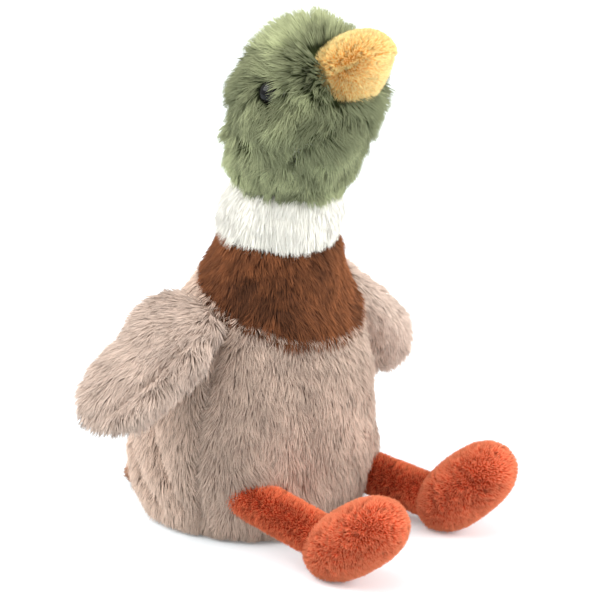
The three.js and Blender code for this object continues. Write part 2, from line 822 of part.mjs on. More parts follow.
function addHead() {
  const collar = group('collar');
  piece('neck_collar', neckCollar(), finish.whitePlush, collar);
  piece('collar_stuffing', collarStuffing(), finish.fibre, collar);
  const head = group('head');
  piece('head_cover', headCover(), finish.greenPlush, head);
  piece('head_stuffing', headStuffing(), finish.fibre, head);
  piece('beak_upper', beakHalf(beakUpperReach, 1), finish.yellowPlush, head);
  piece('beak_lower', beakHalf(beakLowerReach, -1), finish.paleYellowPlush, head);
  for (const [side, seat] of Object.entries(eyeSeats)) {
    const look = new THREE.Quaternion().setFromUnitVectors(Z, seat.look);
    const eye = piece(`eye_${side}`, eyeForm(), finish.blackPlastic, head);
    eye.position.copy(depthPoint(seat, eyeSink));
    eye.quaternion.copy(look);
    const washer = piece(`eye_washer_${side}`, washerForm(), finish.washerPlastic, head);
    washer.position.copy(depthPoint(seat, headPile + seamGap + washerThickness));
    washer.quaternion.copy(look);
  }
}

function addWings() {
  for (const [side, pose] of Object.entries(wingPoses)) {
    const wing = group(`wing_${side}`);
    piece(`wing_cover_${side}`, wingCover(pose), finish.taupePlush, wing);
    piece(`wing_stuffing_${side}`, wingStuffing(pose), finish.fibre, wing);
  }
}

function addLegs() {
  for (const [side, sign] of [['left', 1], ['right', -1]]) {
    const leg = group(`leg_${side}`);
    piece(`leg_cover_${side}`, legCover(sign), finish.rustPlush, leg);
    piece(`leg_stuffing_${side}`, legStuffing(sign), finish.fibre, leg);
    const foot = group(`foot_${side}`, leg);
    piece(`foot_cover_${side}`, footCover(sign), finish.rustPlush, foot);
    piece(`foot_stuffing_${side}`, footStuffing(sign), finish.fibre, foot);
  }
}

addBody();
addRattle();
addHead();
addWings();
addLegs();

export default duck;
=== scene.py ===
# %% [markdown]
# A seated plush duck with a rattle in its stuffing.
#
# The real toy is a dozen bags of knitted pile fabric, turned right side out, stuffed and sewn
# together. What the eye sees is almost all pile: many thousand fibres, brushed one way, that
# gather into small locks. So each piece here is made twice: first its stuffed skin, then the
# fibres that grow on it. The CAD model gives the sizes, the joints and the hard pieces.

# %% Load the model that everything is fitted to
import json
import math

import bpy
import numpy as np
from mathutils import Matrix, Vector


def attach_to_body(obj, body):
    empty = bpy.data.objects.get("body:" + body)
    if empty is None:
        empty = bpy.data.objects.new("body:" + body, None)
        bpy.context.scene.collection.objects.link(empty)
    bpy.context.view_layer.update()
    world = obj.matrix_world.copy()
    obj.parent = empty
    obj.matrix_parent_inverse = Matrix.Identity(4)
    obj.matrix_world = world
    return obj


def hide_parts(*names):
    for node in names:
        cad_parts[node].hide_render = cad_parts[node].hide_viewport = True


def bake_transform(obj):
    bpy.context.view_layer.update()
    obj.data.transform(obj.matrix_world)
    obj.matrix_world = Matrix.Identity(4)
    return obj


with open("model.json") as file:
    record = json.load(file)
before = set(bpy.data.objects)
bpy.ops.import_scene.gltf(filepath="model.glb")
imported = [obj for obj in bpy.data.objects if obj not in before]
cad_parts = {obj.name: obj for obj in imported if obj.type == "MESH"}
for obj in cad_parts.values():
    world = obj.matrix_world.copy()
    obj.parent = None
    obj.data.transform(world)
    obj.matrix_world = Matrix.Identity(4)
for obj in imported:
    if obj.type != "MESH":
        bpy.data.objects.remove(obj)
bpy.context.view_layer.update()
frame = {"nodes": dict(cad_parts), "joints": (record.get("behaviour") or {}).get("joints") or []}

joints = {joint["name"]: joint for joint in frame["joints"]}
MM = 0.001


# %% [markdown]
# The camera comes first, because every shape is judged through it. The photograph is taken from
# the duck's front right, a little above it, with a long lens. A camera could be placed by eye.
# Here two angles, a distance and the picture's scale place it, so each can be corrected alone. It
# is aimed a little beside the duck instead of being shifted.

# %% Camera
VIEW_AZIMUTH = math.radians(-47)
VIEW_ELEVATION = math.radians(17)
VIEW_DISTANCE = 0.95
VIEW_HEIGHT = 0.095  # of the point that the picture's scale is measured at
LENS = 155.9
AIM_RIGHT = 0.0172
AIM_DOWN = 0.0119


def view_axes(azimuth, elevation):
    """Unit vectors towards the camera, to the picture's right and up, from two angles."""
    level = math.cos(elevation)
    towards = Vector((math.sin(azimuth) * level, -math.cos(azimuth) * level, math.sin(elevation)))
    right = Vector((math.cos(azimuth), math.sin(azimuth), 0))
    return towards, right, towards.cross(right)


def add_camera():
    """A camera at two angles and a distance from the duck's middle, turned to a point beside it."""
    towards, right, up = view_axes(VIEW_AZIMUTH, VIEW_ELEVATION)
    middle = Vector((0, 0, VIEW_HEIGHT))
    aim = middle + right * AIM_RIGHT - up * AIM_DOWN
    data = bpy.data.cameras.new("camera")
    data.lens = LENS
    data.sensor_width = 36
    camera = bpy.data.objects.new("camera", data)
    camera.location = middle + towards * VIEW_DISTANCE
    camera.rotation_euler = (aim - camera.location).to_track_quat("-Z", "Y").to_euler()
    bpy.context.collection.objects.link(camera)
    bpy.context.scene.camera = camera


add_camera()
print("camera set")

# %% [markdown]
# Colours are picked as sRGB hex, as on a screen, but light adds up in linear values, so one
# function turns them. Materials could be wired in the editor. A function that adds one node and
# links it keeps a material as easy to read as its tree.

# %% Colours and shader nodes


def linear(colour):
    """Linear RGBA from an sRGB hex colour."""
    parts = [int(colour[i:i + 2], 16) / 255 for i in (1, 3, 5)]
    return [p / 12.92 if p <= 0.04045 else ((p + 0.055) / 1.055) ** 2.4 for p in parts] + [1.0]


def node(tree, kind, inputs=None, **settings):
    """Adds a shader node. An input is a value, or another node's output to link."""
    made = tree.nodes.new(kind)
    for name, value in settings.items():
        setattr(made, name, value)
    for name, value in (inputs or {}).items():
        if isinstance(value, bpy.types.NodeSocket):
            tree.links.new(value, made.inputs[name])
        else:
            made.inputs[name].default_value = value
    return made


def new_material(name):
    """A material without nodes, and its tree."""
    material = bpy.data.materials.new(name)
    material.use_nodes = True
    material.node_tree.nodes.clear()
    return material, material.node_tree

# %% [markdown]
# Pile is polyester fibre, cut and brushed. It is darker near its root, where less light reaches,
# paler at its tip, and its locks differ a little. A texture over the skin could not follow single
# fibres. So each fibre carries both facts in its own UV: u is how pale its lock is, v runs from
# root to tip.

# %% Pile material
MIX_FACTOR, MIX_A, MIX_B, MIX_COLOUR = 0, 6, 7, 2  # sockets of a colour Mix node


def pile_material(name, root, tip, dark, pale, sheen):
    """Colour = (root to tip by v) times (dark to pale by u)."""
    material, tree = new_material(name)
    uv = node(tree, "ShaderNodeUVMap", uv_map="OFBake")
    parts = node(tree, "ShaderNodeSeparateXYZ", {"Vector": uv.outputs["UV"]})
    along = node(tree, "ShaderNodeMapRange", {"Value": parts.outputs["Y"], "From Min": 0.1, "From Max": 0.85},
                 interpolation_type="SMOOTHSTEP")
    dye = node(tree, "ShaderNodeMix", {MIX_FACTOR: along.outputs["Result"], MIX_A: linear(root),
                                       MIX_B: linear(tip)}, data_type="RGBA")
    lock = node(tree, "ShaderNodeMix", {MIX_FACTOR: parts.outputs["X"], MIX_A: [dark] * 3 + [1],
                                        MIX_B: [pale] * 3 + [1]}, data_type="RGBA")
    colour = node(tree, "ShaderNodeMix", {MIX_FACTOR: 1.0, MIX_A: dye.outputs[MIX_COLOUR],
                                          MIX_B: lock.outputs[MIX_COLOUR]},
                  data_type="RGBA", blend_type="MULTIPLY")
    shader = node(tree, "ShaderNodeBsdfPrincipled", {
        "Base Color": colour.outputs[MIX_COLOUR], "Roughness": 0.85, "Specular IOR Level": 0.25,
        "Sheen Weight": sheen, "Sheen Roughness": 0.5, "Sheen Tint": linear(tip)})
    node(tree, "ShaderNodeOutputMaterial", {"Surface": shader.outputs["BSDF"]})
    return material

# %% [markdown]
# The backing under the pile is knitted, the eyes are moulded, the stuffing is carded. Pictures
# could show stitches, orange peel and clouds of fibre, but procedural textures in a piece's own
# coordinates never run out of detail, and one function serves all three.

# %% Cloth, plastic and fibre material


def textured_material(name, texture, output, size, tones, roughness, shine, relief, depth, **settings):
    """A texture of the given size, in mm, mixes two tones, or varies the roughness of a single one,
    and raises a relief depth mm high."""
    material, tree = new_material(name)
    place = node(tree, "ShaderNodeTexCoord")
    pattern = node(tree, texture, {"Vector": place.outputs["Object"], "Scale": 1 / (size * MM), **settings})
    height = pattern.outputs[output]
    bumped = node(tree, "ShaderNodeBump", {"Strength": relief, "Distance": depth * MM, "Height": height})
    if len(tones) == 2:
        tone = node(tree, "ShaderNodeMix", {MIX_FACTOR: height, MIX_A: linear(tones[0]),
                                            MIX_B: linear(tones[1])}, data_type="RGBA")
        looks = {"Base Color": tone.outputs[MIX_COLOUR], "Roughness": roughness}
    else:
        rough = node(tree, "ShaderNodeMapRange", {"Value": height, "To Min": roughness * 0.8,
                                                  "To Max": roughness * 1.25})
        looks = {"Base Color": linear(tones[0]), "Roughness": rough.outputs["Result"]}
    shader = node(tree, "ShaderNodeBsdfPrincipled", {**looks, "Specular IOR Level": shine,
                                                     "Normal": bumped.outputs["Normal"]})
    node(tree, "ShaderNodeOutputMaterial", {"Surface": shader.outputs["BSDF"]})
    return material


def backing_material(name, colour, deep):
    """The knit under the pile: a cell pattern of 0.9 mm stitches, with painted shade between them."""
    return textured_material(name, "ShaderNodeTexVoronoi", "Distance", 0.9, (colour, deep), roughness=0.95,
                             shine=0.2, relief=0.5, depth=0.2)

# %% [markdown]
# The duck is taupe, brown, white, green, rust and yellow. Colours could be read off the
# photograph, but pile looks darker than it is dyed, because most of it lies in its own shade. So
# root and tip were set until the render's patches had the photograph's colours. Tables show how
# they relate.

# %% Colours of the duck
# Of each pile: its name, root and tip colours, how dark and how pale its locks are, and its sheen.
# Long pile gives the eye soft clouds, shaggy pile dark and pale streaks, straight pile an even
# band, and short pile a fine grain. All are matt, with a pale rim where they are seen edge on.
PILES = {
    "taupe": ("taupe_long_pile", "#8f7565", "#d8beac", 0.66, 1.2, 0.25),
    "taupe_wing": ("taupe_combed_pile", "#ab9180", "#e4cdbd", 0.75, 1.08, 0.25),
    "green": ("sage_shaggy_pile", "#454e2c", "#b0b68b", 0.48, 1.22, 0.25),
    "white": ("white_straight_pile", "#f3eedd", "#fffcf1", 0.96, 1.0, 0.25),
    "brown": ("chestnut_pile", "#2e1609", "#855030", 0.34, 1.4, 0.4),
    "tail": ("fawn_pile", "#6b4a36", "#b98b70", 0.7, 1.1, 0.25),
    "rust_leg": ("rust_leg_pile", "#cc3714", "#fb865a", 0.76, 1.18, 0.2),
    "rust": ("rust_foot_pile", "#dc4a24", "#ff946a", 0.9, 1.16, 0.4),
    "yellow": ("yellow_short_pile", "#f3a23a", "#ffe59c", 0.94, 1.2, 0.1),
    "pale_yellow": ("pale_yellow_short_pile", "#fdb04c", "#ffe5a2", 1.0, 1.3, 0.1),
}
# Of each backing: its name, the colour of a stitch, and the colour between stitches, a painted shade.
# Between the fibres it gives the eye a dull ground of the pile's own hue, darkened as painted shade.
BACKINGS = {
    "taupe": ("taupe_knit_backing", "#9a8475", "#6d594c"),
    "taupe_wing": ("taupe_wing_knit_backing", "#b09989", "#937e70"),
    "green": ("sage_knit_backing", "#525c36", "#323a20"),
    "white": ("white_knit_backing", "#ece7dc", "#c9c1b4"),
    "brown": ("chestnut_knit_backing", "#4a2817", "#2a150b"),
    "rust": ("rust_knit_backing", "#bf4824", "#9a3414"),
    "yellow": ("yellow_knit_backing", "#f0ad55", "#d89845"),
    "pale_yellow": ("pale_yellow_knit_backing", "#eab45f", "#d29c50"),
}
pile = {key: pile_material(*looks) for key, looks in PILES.items()}
backing = {key: backing_material(*looks) for key, looks in BACKINGS.items()}
print("pile materials:", len(pile), "backings:", len(backing))

# %% [markdown]
# A skin is a sewn bag, closed all round. It could be sculpted. Here it is a grid of points in
# rings from the bottom up, each counted anticlockwise from above, worked out as whole arrays and
# closed at both ends. Then every seam, fold and swelling is a formula of where a point lies.

# %% Meshes from grids


def add_object(name, mesh, material):
    """A mesh put into the scene at the origin, with its material."""
    mesh.materials.append(material)
    made = bpy.data.objects.new(name, mesh)
    bpy.context.collection.objects.link(made)
    return made


def fill_mesh(name, points, triangles):
    """A mesh from an array of points in mm and an array of triangles, shaded smooth."""
    mesh = bpy.data.meshes.new(name)
    mesh.vertices.add(len(points))
    mesh.vertices.foreach_set("co", (points * MM).astype(np.float32).ravel())
    mesh.loops.add(triangles.size)
    mesh.loops.foreach_set("vertex_index", triangles.astype(np.int32).ravel())
    mesh.polygons.add(len(triangles))
    mesh.polygons.foreach_set("loop_start", np.arange(0, triangles.size, 3, dtype=np.int32))
    mesh.polygons.foreach_set("loop_total", np.full(len(triangles), 3, dtype=np.int32))
    mesh.polygons.foreach_set("use_smooth", np.ones(len(triangles), dtype=bool))
    mesh.update(calc_edges=True)
    return mesh


def grid_triangles(rows, columns):
    """Triangles of a grid of rings that close round, and of the two caps at its ends."""
    corner = np.arange(rows * columns).reshape(rows, columns)
    after = np.roll(corner, -1, axis=1)
    first, last = (np.full(columns, rows * columns + end) for end in (0, 1))
    faces = [(corner[:-1], after[:-1], after[1:]), (corner[:-1], after[1:], corner[1:]),
             (first, after[0], corner[0]), (last, corner[-1], after[-1])]
    return np.concatenate([np.stack(face, -1).reshape(-1, 3) for face in faces])


def facing_out(points, triangles):
    """The triangles of a closed form, turned over if its signed volume, sum(a . (b x c)) / 6, is
    below zero."""
    a, b, c = (points[triangles[:, k]] for k in range(3))
    volume = np.einsum("ij,ij->i", a, np.cross(b, c)).sum() / 6
    return triangles if volume >= 0 else triangles[:, ::-1]


def closed_mesh(name, rings):
    """A closed mesh from rings of points (rows, columns, 3), each end closed at its middle."""
    points = np.concatenate([rings.reshape(-1, 3), [rings[0].mean(0), rings[-1].mean(0)]])
    return fill_mesh(name, points, facing_out(points, grid_triangles(*rings.shape[:2])))

# %% [markdown]
# Each bag is cut on its own and sewn on, so each is a piece, and most move with their part. The
# wings and legs are sewn to the body at their roots, and their pieces stay fixed where they stand.

# %% Covers


def attach(made, body, bend):
    """A piece rides on a body. Given a bend, it stays fixed where it stands instead, and the bend's
    body and points, in mm, are not used."""
    if bend is None:
        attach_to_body(made, body)
    else:
        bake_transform(made)


def skin_object(name, rings, colour, body, nodes, bend=None):
    """A stuffed skin for CAD nodes. Without a bend it moves with their body. Returns what its pile needs."""
    made = add_object(name, closed_mesh(name, rings), backing[colour])
    attach(made, body, bend)
    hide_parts(*nodes)
    print(f"{name}: {len(made.data.polygons)} triangles")
    return made, colour, body, bend

# %% [markdown]
# Stuffing pushes cloth out in round swellings and leaves it uneven between them. A cloth
# simulation could find them, but the pile hides every wrinkle. Bumps and slow waves give the same
# outline, and can be set from the photograph.

# %% Soft forms


def unit(vectors):
    """Each vector divided by its length."""
    return vectors / np.maximum(np.linalg.norm(vectors, axis=-1, keepdims=True), 1e-9)


def bump(points, centre, radius, height):
    """A smooth swelling: height * exp(-(distance / radius)^2)."""
    return height * np.exp(-(np.linalg.norm(points - centre, axis=-1) / radius) ** 2)


def ramp(value, start, end):
    """0 up to start, 1 beyond end, straight between."""
    return np.clip((value - start) / (end - start), 0, 1)


def wander(points, size, seed):
    """A smooth random value between about -1 and 1 at each point: sine waves in random directions,
    with wavelengths near size, added and scaled."""
    rng = np.random.default_rng(seed)
    total = np.zeros(points.shape[:-1])
    for _ in range(7):
        wave = unit(rng.normal(size=3)) * 2 * np.pi / (size * rng.uniform(0.7, 1.5))
        total += np.sin(points @ wave + rng.uniform(0, 2 * np.pi))
    return total / 3

# %% [markdown]
# Fibres stand close together all over the cloth, and brushing gathers them into locks. A particle
# system could scatter them, but the exported model keeps only meshes. So roots are spread over
# the skin's triangles by area, and a warped grid of cells says which lock each belongs to.

# %% Roots and locks
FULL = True
QUICK_SHARE = 0.35  # of the fibres, while trying things


def read_rows(collection, field, width, kind=np.float32):
    """One field of a mesh's vertices or triangles, as an array with width columns."""
    values = np.zeros(len(collection) * width, dtype=kind)
    collection.foreach_get(field, values)
    return values.reshape(-1, width)


def surface_points(skin, per_mm2, seed):
    """Evenly spread points on a skin, in mm, with their normals: stratified along the summed areas."""
    mesh = skin.data
    mesh.calc_loop_triangles()
    corners = read_rows(mesh.loop_triangles, "vertices", 3, np.int32)
    points = read_rows(mesh.vertices, "co", 3).astype(float) / MM
    normals = read_rows(mesh.vertices, "normal", 3).astype(float)
    a, b, c = (points[corners[:, k]] for k in range(3))
    areas = np.linalg.norm(np.cross(b - a, c - a), axis=1) / 2
    summed = np.cumsum(areas)
    rng = np.random.default_rng(seed)
    wanted = int(summed[-1] * per_mm2 * (1.0 if FULL else QUICK_SHARE))
    place = (np.arange(wanted) + rng.random(wanted)) / wanted * summed[-1]
    picked = np.minimum(np.searchsorted(summed, place), len(corners) - 1)
    s, t = np.sqrt(rng.random(wanted)), rng.random(wanted)
    weights = np.stack([1 - s, s * (1 - t), s * t], -1)[:, :, None]
    roots = (points[corners[picked]] * weights).sum(1)
    return roots, unit((normals[corners[picked]] * weights).sum(1))


def lock_centres(roots, size, seed):
    """The middle of the lock that each root belongs to, and the lock's number: roots that share a
    cell of a grid, warped so that the cells are not in rows."""
    warp = np.stack([wander(roots, 3.1 * size, seed + k) for k in range(3)], -1) * size * 0.9
    cells = np.floor((roots + warp) / size).astype(np.int64)
    keys = cells[:, 0] * 1_000_003 + cells[:, 1] * 10_007 + cells[:, 2]
    _, number = np.unique(keys, return_inverse=True)
    counts = np.bincount(number)
    centres = np.stack([np.bincount(number, weights=roots[:, k]) / counts for k in range(3)], -1)
    return centres[number], number

# %% [markdown]
# A real fibre is far finer than a pixel, and there are millions. Cards with a picture of hair
# would be cheap, but their edges show against the background. So a fibre here is a three-sided
# spike, about as wide as a pixel of the photograph, that stands for the few real ones beside it.

# %% Fibres
SIDE_SHADING = 0.45  # share of a fibre's own sides in its shading
WIDEST_AT = 0.42  # share of a long fibre's length
TABLE, PRESSED = 0.5, 0.04  # mm; what would hang below this keeps only this share of its depth


def fibre_mesh(name, roots, starts, ends, lengths, width, short, shades, facing, rng):
    """Fibres that are three-sided spikes. The middle line is
    root + length * (t * start + t^2 / 2 * (end - start)), with t from 0 at the root to 1 at the tip.
    A short fibre is widest at its root, a long one further up. The shading normal is mostly the way
    the pile faces, because light wanders among real fibres and evens out their sides."""
    roll = rng.uniform(0, 2 * np.pi, len(roots))
    side = unit(np.cross(starts, ends) + 1e-3 * rng.normal(size=roots.shape))
    other = unit(np.cross(starts, side))
    stations = [0.0] * 3 + [1.0] if short else [WIDEST_AT] * 3 + [1.0, 0.0]
    points = np.stack([roots + lengths[:, None] * (t * starts + t * t / 2 * (ends - starts))
                       for t in stations], 1)
    shading = np.repeat(facing[:, None], len(stations), 1)
    for corner in range(3):
        turn = (roll + corner * 2 * np.pi / 3)[:, None]
        outward = np.cos(turn) * side + np.sin(turn) * other
        points[:, corner] += width / 2 * outward
        shading[:, corner] += SIDE_SHADING * outward
    foot = [[0, 2, 1]] if short else [[1, 0, 4], [2, 1, 4], [0, 2, 4]]
    faces = facing_out(points[0], np.array(foot + [[0, 1, 3], [1, 2, 3], [2, 0, 3]]))
    triangles = (faces + np.arange(len(roots))[:, None, None] * len(stations)).reshape(-1, 3)
    low = points[..., 2] < TABLE
    points[..., 2] = np.where(low, TABLE + (points[..., 2] - TABLE) * PRESSED, points[..., 2])
    mesh = fill_mesh(name, points.reshape(-1, 3), triangles)
    across = np.array([0.0, 0.5, 1.0, 0.5, 0.5])
    u = np.clip(shades, 0.02, 0.97)[:, None] + 0.012 * across[faces.ravel()]
    v = np.broadcast_to(0.02 + 0.96 * np.array(stations)[faces.ravel()], u.shape)
    layer = mesh.uv_layers.new(name="OFBake")
    layer.data.foreach_set("uv", np.stack([u, v], -1).astype(np.float32).ravel())
    normals = mesh.attributes.new("custom_normal", "FLOAT_VECTOR", "POINT")
    normals.data.foreach_set("vector", unit(shading).astype(np.float32).ravel())
    mesh.update()
    return mesh

# %% [markdown]
# Brushed fibres leave their roots steeply and bend over. Neighbours gather towards a common tip,
# which makes the small locks that the photograph shows. Hair could be combed by hand, but not
# twice the same way. One function grows every pile here, from shaggy to short, out of a few
# lengths and angles.

# %% Growing pile
LOCK_SHADING = 0.5  # how round a lock shades
# TUFT_SHADING also sets the painted shade at a tuft's edges.
TUFT_SHADING = 0.012  # how round a tuft shades, for each degree that it may lean
TUFT = 7.0  # mm across
SWIRL_SIZE, CLOUD_SIZES = 14, (25, 9)  # mm; of the waves in the lay and in the paleness


def grow(name, cover, lay, length, per_mm2, seed, width=0.4, lift=(52, 8), short=False, lock=1.7, gather=0.6,
         swirl=20, tousle=10, mottle=0.34, keep=None, height=None, tone=None, fibres=None):
    """Pile on a skin. lay(points, normals) gives the brushed direction; lift is the angle off the
    surface at root and tip, and a fibre stands up where the lay leaves the surface. The tips of a
    lock draw together by gather, and the locks of a tuft lean together by up to tousle degrees.
    mottle is how far the locks differ in paleness, and tone adds painted light and shade by place. The fibres
    have the cover's colour unless another pile is named."""
    skin, colour, body, bend = cover
    rng = np.random.default_rng(seed)
    roots, normals = surface_points(skin, per_mm2, seed)
    if keep is not None:
        wanted = keep(roots, normals)
        roots, normals = roots[wanted], normals[wanted]
    count = len(roots)
    wish = unit(np.broadcast_to(lay(roots, normals), roots.shape))
    off = np.einsum("ij,ij->i", wish, normals)  # how far the lay points off the surface
    leaving = np.clip(off, 0, 1) ** 3
    brushed = unit(wish - normals * off[:, None])
    centres, number = lock_centres(roots, lock, seed + 40)
    lock_random = np.random.default_rng(seed + 41).random(number.max() + 1)[number]
    heart, group = lock_centres(centres, TUFT, seed + 50)
    tuft_random = np.random.default_rng(seed + 51).uniform(-1, 1, (group.max() + 1, 3))[group]
    turn = (np.radians(swirl) * (0.7 * wander(roots, SWIRL_SIZE, seed + 20) + 0.5 * rng.normal(size=count))
            + np.radians(tousle) * tuft_random[:, 0])
    across = np.cross(normals, brushed)
    brushed = brushed * np.cos(turn)[:, None] + across * np.sin(turn)[:, None]
    # Lengths differ by a tenth either way from fibre to fibre, and again from lock to lock.
    stretch = length * (0.86 + 0.2 * rng.random(count)) * (0.9 + 0.2 * lock_random)
    stretch = stretch * (1 + 0.004 * tousle * tuft_random[:, 1])
    if height is not None:
        stretch = stretch * height(roots, normals)
    angles = []
    for degrees in lift:
        angle = np.radians(degrees + 0.5 * tousle * tuft_random[:, 2]) * (1 + 0.15 * rng.normal(size=count))
        angles.append(angle + (np.pi / 2 - angle) * leaving)
    starts, ends = (unit(np.sin(angle)[:, None] * normals + np.cos(angle)[:, None] * brushed)
                    for angle in angles)
    ends = ends + (centres - roots) * gather * 2 / np.maximum(stretch, 0.1)[:, None]
    beside = (roots - centres) / lock
    apart = (centres - heart) / TUFT
    facing = normals + LOCK_SHADING * beside + TUFT_SHADING * tousle * apart
    # Paleness: by lock, by fibre, in two sizes of cloud, and painted shade at the edges of locks and tufts.
    pale = (0.5 + mottle * (lock_random - 0.5) + 0.1 * rng.normal(size=count)
            + 0.4 * mottle * wander(roots, CLOUD_SIZES[0], seed + 60)
            + 0.3 * mottle * wander(roots, CLOUD_SIZES[1], seed + 61)
            + 0.2 * (0.35 - np.linalg.norm(beside, axis=1))
            + TUFT_SHADING * tousle * (0.4 - np.linalg.norm(apart, axis=1)))
    if tone is not None:
        pale = pale + tone(roots, normals)
    mesh = fibre_mesh(name, roots, starts, ends, stretch, width, short, pale, facing, rng)
    attach(add_object(name, mesh, pile[fibres or colour]), body, bend)
    print(f"{name}: {count} fibres, {len(mesh.polygons)} triangles")

# %% [markdown]
# The torso is one stuffed form about a spine that curves forward, cut across by two sewn seams:
# the body below, the brown bib above it, then the collar, which turns on the neck. The three
# could be modelled apart and fitted. One profile for all makes them meet at the seams.

# %% Torso
BODY_RADIUS, BODY_WIDEST, BASE_RADIUS = 46, 28, 33
BODY_FULLNESS, BODY_TAPER = 2.4, 2.2
BIB_SEAM_HEIGHT, BIB_SEAM_RADIUS, BIB_SEAM_LEAN = 88, 31, math.radians(20)
NECK_LEAN, NECK_RADIUS, NECK_FLARE = math.radians(13), 22, 1.4
BIB_HEIGHT = 26.5
COLLAR_SEAM_HEIGHT = BIB_SEAM_HEIGHT + BIB_HEIGHT * math.cos(NECK_LEAN)
BODY_INSET, BIB_INSET, COLLAR_INSET = 4.2, 3.2, 3.6  # of the skins, below the pile's mean height
AROUND = 144


def all_round(count):
    """Equal steps of a full turn."""
    return np.linspace(0, 2 * np.pi, count, endpoint=False)


def spine(height):
    """How far forward (-Y) the torso's middle lies: a parabola up to the bib, then a straight line."""
    slope = math.tan(NECK_LEAN)
    low = -slope * height ** 2 / (2 * BIB_SEAM_HEIGHT)
    return np.where(height <= BIB_SEAM_HEIGHT, low, -slope * (height - BIB_SEAM_HEIGHT / 2))


def torso_radius(height):
    """A full curve in to the base, a late taper up to the bib, and a flare in to the neck."""
    drop = ramp(height, BODY_WIDEST, 0)
    low = BASE_RADIUS + (BODY_RADIUS - BASE_RADIUS) * (1 - drop ** BODY_FULLNESS) ** (1 / BODY_FULLNESS)
    rise = ramp(height, BODY_WIDEST, BIB_SEAM_HEIGHT)
    middle = BIB_SEAM_RADIUS + (BODY_RADIUS - BIB_SEAM_RADIUS) * (1 - rise ** BODY_TAPER)
    rise = ramp(height, BIB_SEAM_HEIGHT, COLLAR_SEAM_HEIGHT)
    high = NECK_RADIUS + (BIB_SEAM_RADIUS - NECK_RADIUS) * (1 - rise) ** NECK_FLARE
    return np.where(height < BODY_WIDEST, low, np.where(height < BIB_SEAM_HEIGHT, middle, high))


def torso_points(height, turn, inset):
    """Points of the torso at heights and turns (from +X towards +Y), drawn in by an inset."""
    radius = torso_radius(height) - inset
    return np.stack([radius * np.cos(turn), radius * np.sin(turn) + spine(height), height], -1)


def turn_round(points):
    """How far round the torso points lie, from +X towards +Y."""
    return np.arctan2(points[:, 1] - spine(points[:, 2]), points[:, 0]) % (2 * np.pi)


def seam_heights(turn, seam_height, lean, inset):
    """The height at which each turn meets a seam's leaning plane, by repeated substitution."""
    height = np.full_like(turn, float(seam_height))
    middle = spine(np.array(float(seam_height)))
    for _ in range(30):
        y = torso_points(height, turn, inset)[..., 1]
        height = seam_height + math.tan(lean) * (y - middle)
    return height


TURNS = all_round(AROUND)
bib_line = seam_heights(TURNS, BIB_SEAM_HEIGHT, BIB_SEAM_LEAN, BODY_INSET)
collar_line = seam_heights(TURNS, COLLAR_SEAM_HEIGHT, NECK_LEAN, BIB_INSET)
print("bib seam from", round(bib_line.min(), 1), "to", round(bib_line.max(), 1), "mm high")

# %% [markdown]
# The body is a pear-shaped bag. Two side seams run up from the base and pull the cloth in along a
# line. Low on the right the cloth has slack, so it lies in two soft folds, and above the hips it
# swells over the legs. Sculpted dents would do. Grooves of known width stay where the photograph
# has them.

# %% Body skin
SIDE_SEAMS = (math.radians(195), math.radians(345))
FOLDS = (((162, 42), (184, 15)), ((133, 40), (169, 11)))  # degrees from +X and mm high, at their ends
LEFT, BACK, DOWN = np.array([1.0, 0, 0]), np.array([0, 1.0, 0]), np.array([0, 0, -1.0])


def joint_place(name):
    """Where a joint is, in mm."""
    return np.array(joints[name]["pos_m"]) / MM


HIPS = [joint_place(f"hip_{side}") for side in ("left", "right")]
LEG_RADIUS = 8.2
SEAM_GROOVE = (2.8, 5.0)  # half width and depth of a side seam
FOLD_HALF_WIDTH, FOLD_DEPTH, FOLD_END = 3.0, 5.5, 0.4  # FOLD_END: share of the depth left at its ends
OVER_HIP = -11 * DOWN  # from a hip to where the body's pile hangs over the leg
RIGHT_REAR = np.array([-33, 28, 22])  # where the stuffing pushes the cloth out a little
HIP_SWELL, REAR_SWELL = (9, 2.2), (16, 2.4)  # radius and height of each swelling
BODY_WAVES = (0.6, 30)  # mm deep, and mm long


def groove(distance, half_width, depth):
    """A soft V: full depth at the line, none beyond about twice the half width."""
    return depth * np.exp(-(distance / half_width) ** 2)


def from_seam(turn, seam):
    """How far round the body a place lies from a side seam, in mm."""
    return ((turn - seam + np.pi) % (2 * np.pi) - np.pi) * BODY_RADIUS


def in_folds(turn, height):
    """1 along the middle of a slack fold, 0.4 at its ends, and near 0 some 6 mm beside it."""
    deepest = np.zeros(np.shape(turn))
    for (turn_a, height_a), (turn_b, height_b) in FOLDS:
        start = np.array([math.radians(turn_a) * BODY_RADIUS, height_a])
        run = np.array([math.radians(turn_b) * BODY_RADIUS, height_b]) - start
        place = np.stack([turn * BODY_RADIUS, height], -1) - start
        share = np.clip(place @ run / (run @ run), 0, 1)
        apart = np.linalg.norm(place - share[..., None] * run, axis=-1)
        depth = FOLD_END + (1 - FOLD_END) * np.sin(np.pi * share)
        deepest = np.maximum(deepest, groove(apart, FOLD_HALF_WIDTH, 1.0) * depth)
    return deepest


def body_rings():
    """Rings from the base up to the bib's seam: the torso less an inset, to which the side seams, the
    folds and slow waves add, with a bump outwards over each hip and at the right rear."""
    share = np.linspace(0, 1, 90)[:, None]
    base = 1.2  # mm above the floor
    height = base + (bib_line[None, :] - base) * share
    turn = np.broadcast_to(TURNS, height.shape)
    inset = np.full(height.shape, float(BODY_INSET))
    for seam in SIDE_SEAMS:
        inset += groove(from_seam(turn, seam), *SEAM_GROOVE) * np.clip(share * 6, 0, 1)
    points = torso_points(height, turn, inset)
    inset += FOLD_DEPTH * in_folds(turn, height) + BODY_WAVES[0] * wander(points, BODY_WAVES[1], 6)
    points = torso_points(height, turn, inset)
    outward = unit(points - np.stack([0 * height, spine(height), height], -1))
    for hip in HIPS:
        points += outward * bump(points, hip + OVER_HIP, *HIP_SWELL)[..., None]
    return points + outward * bump(points, RIGHT_REAR, *REAR_SWELL)[..., None]


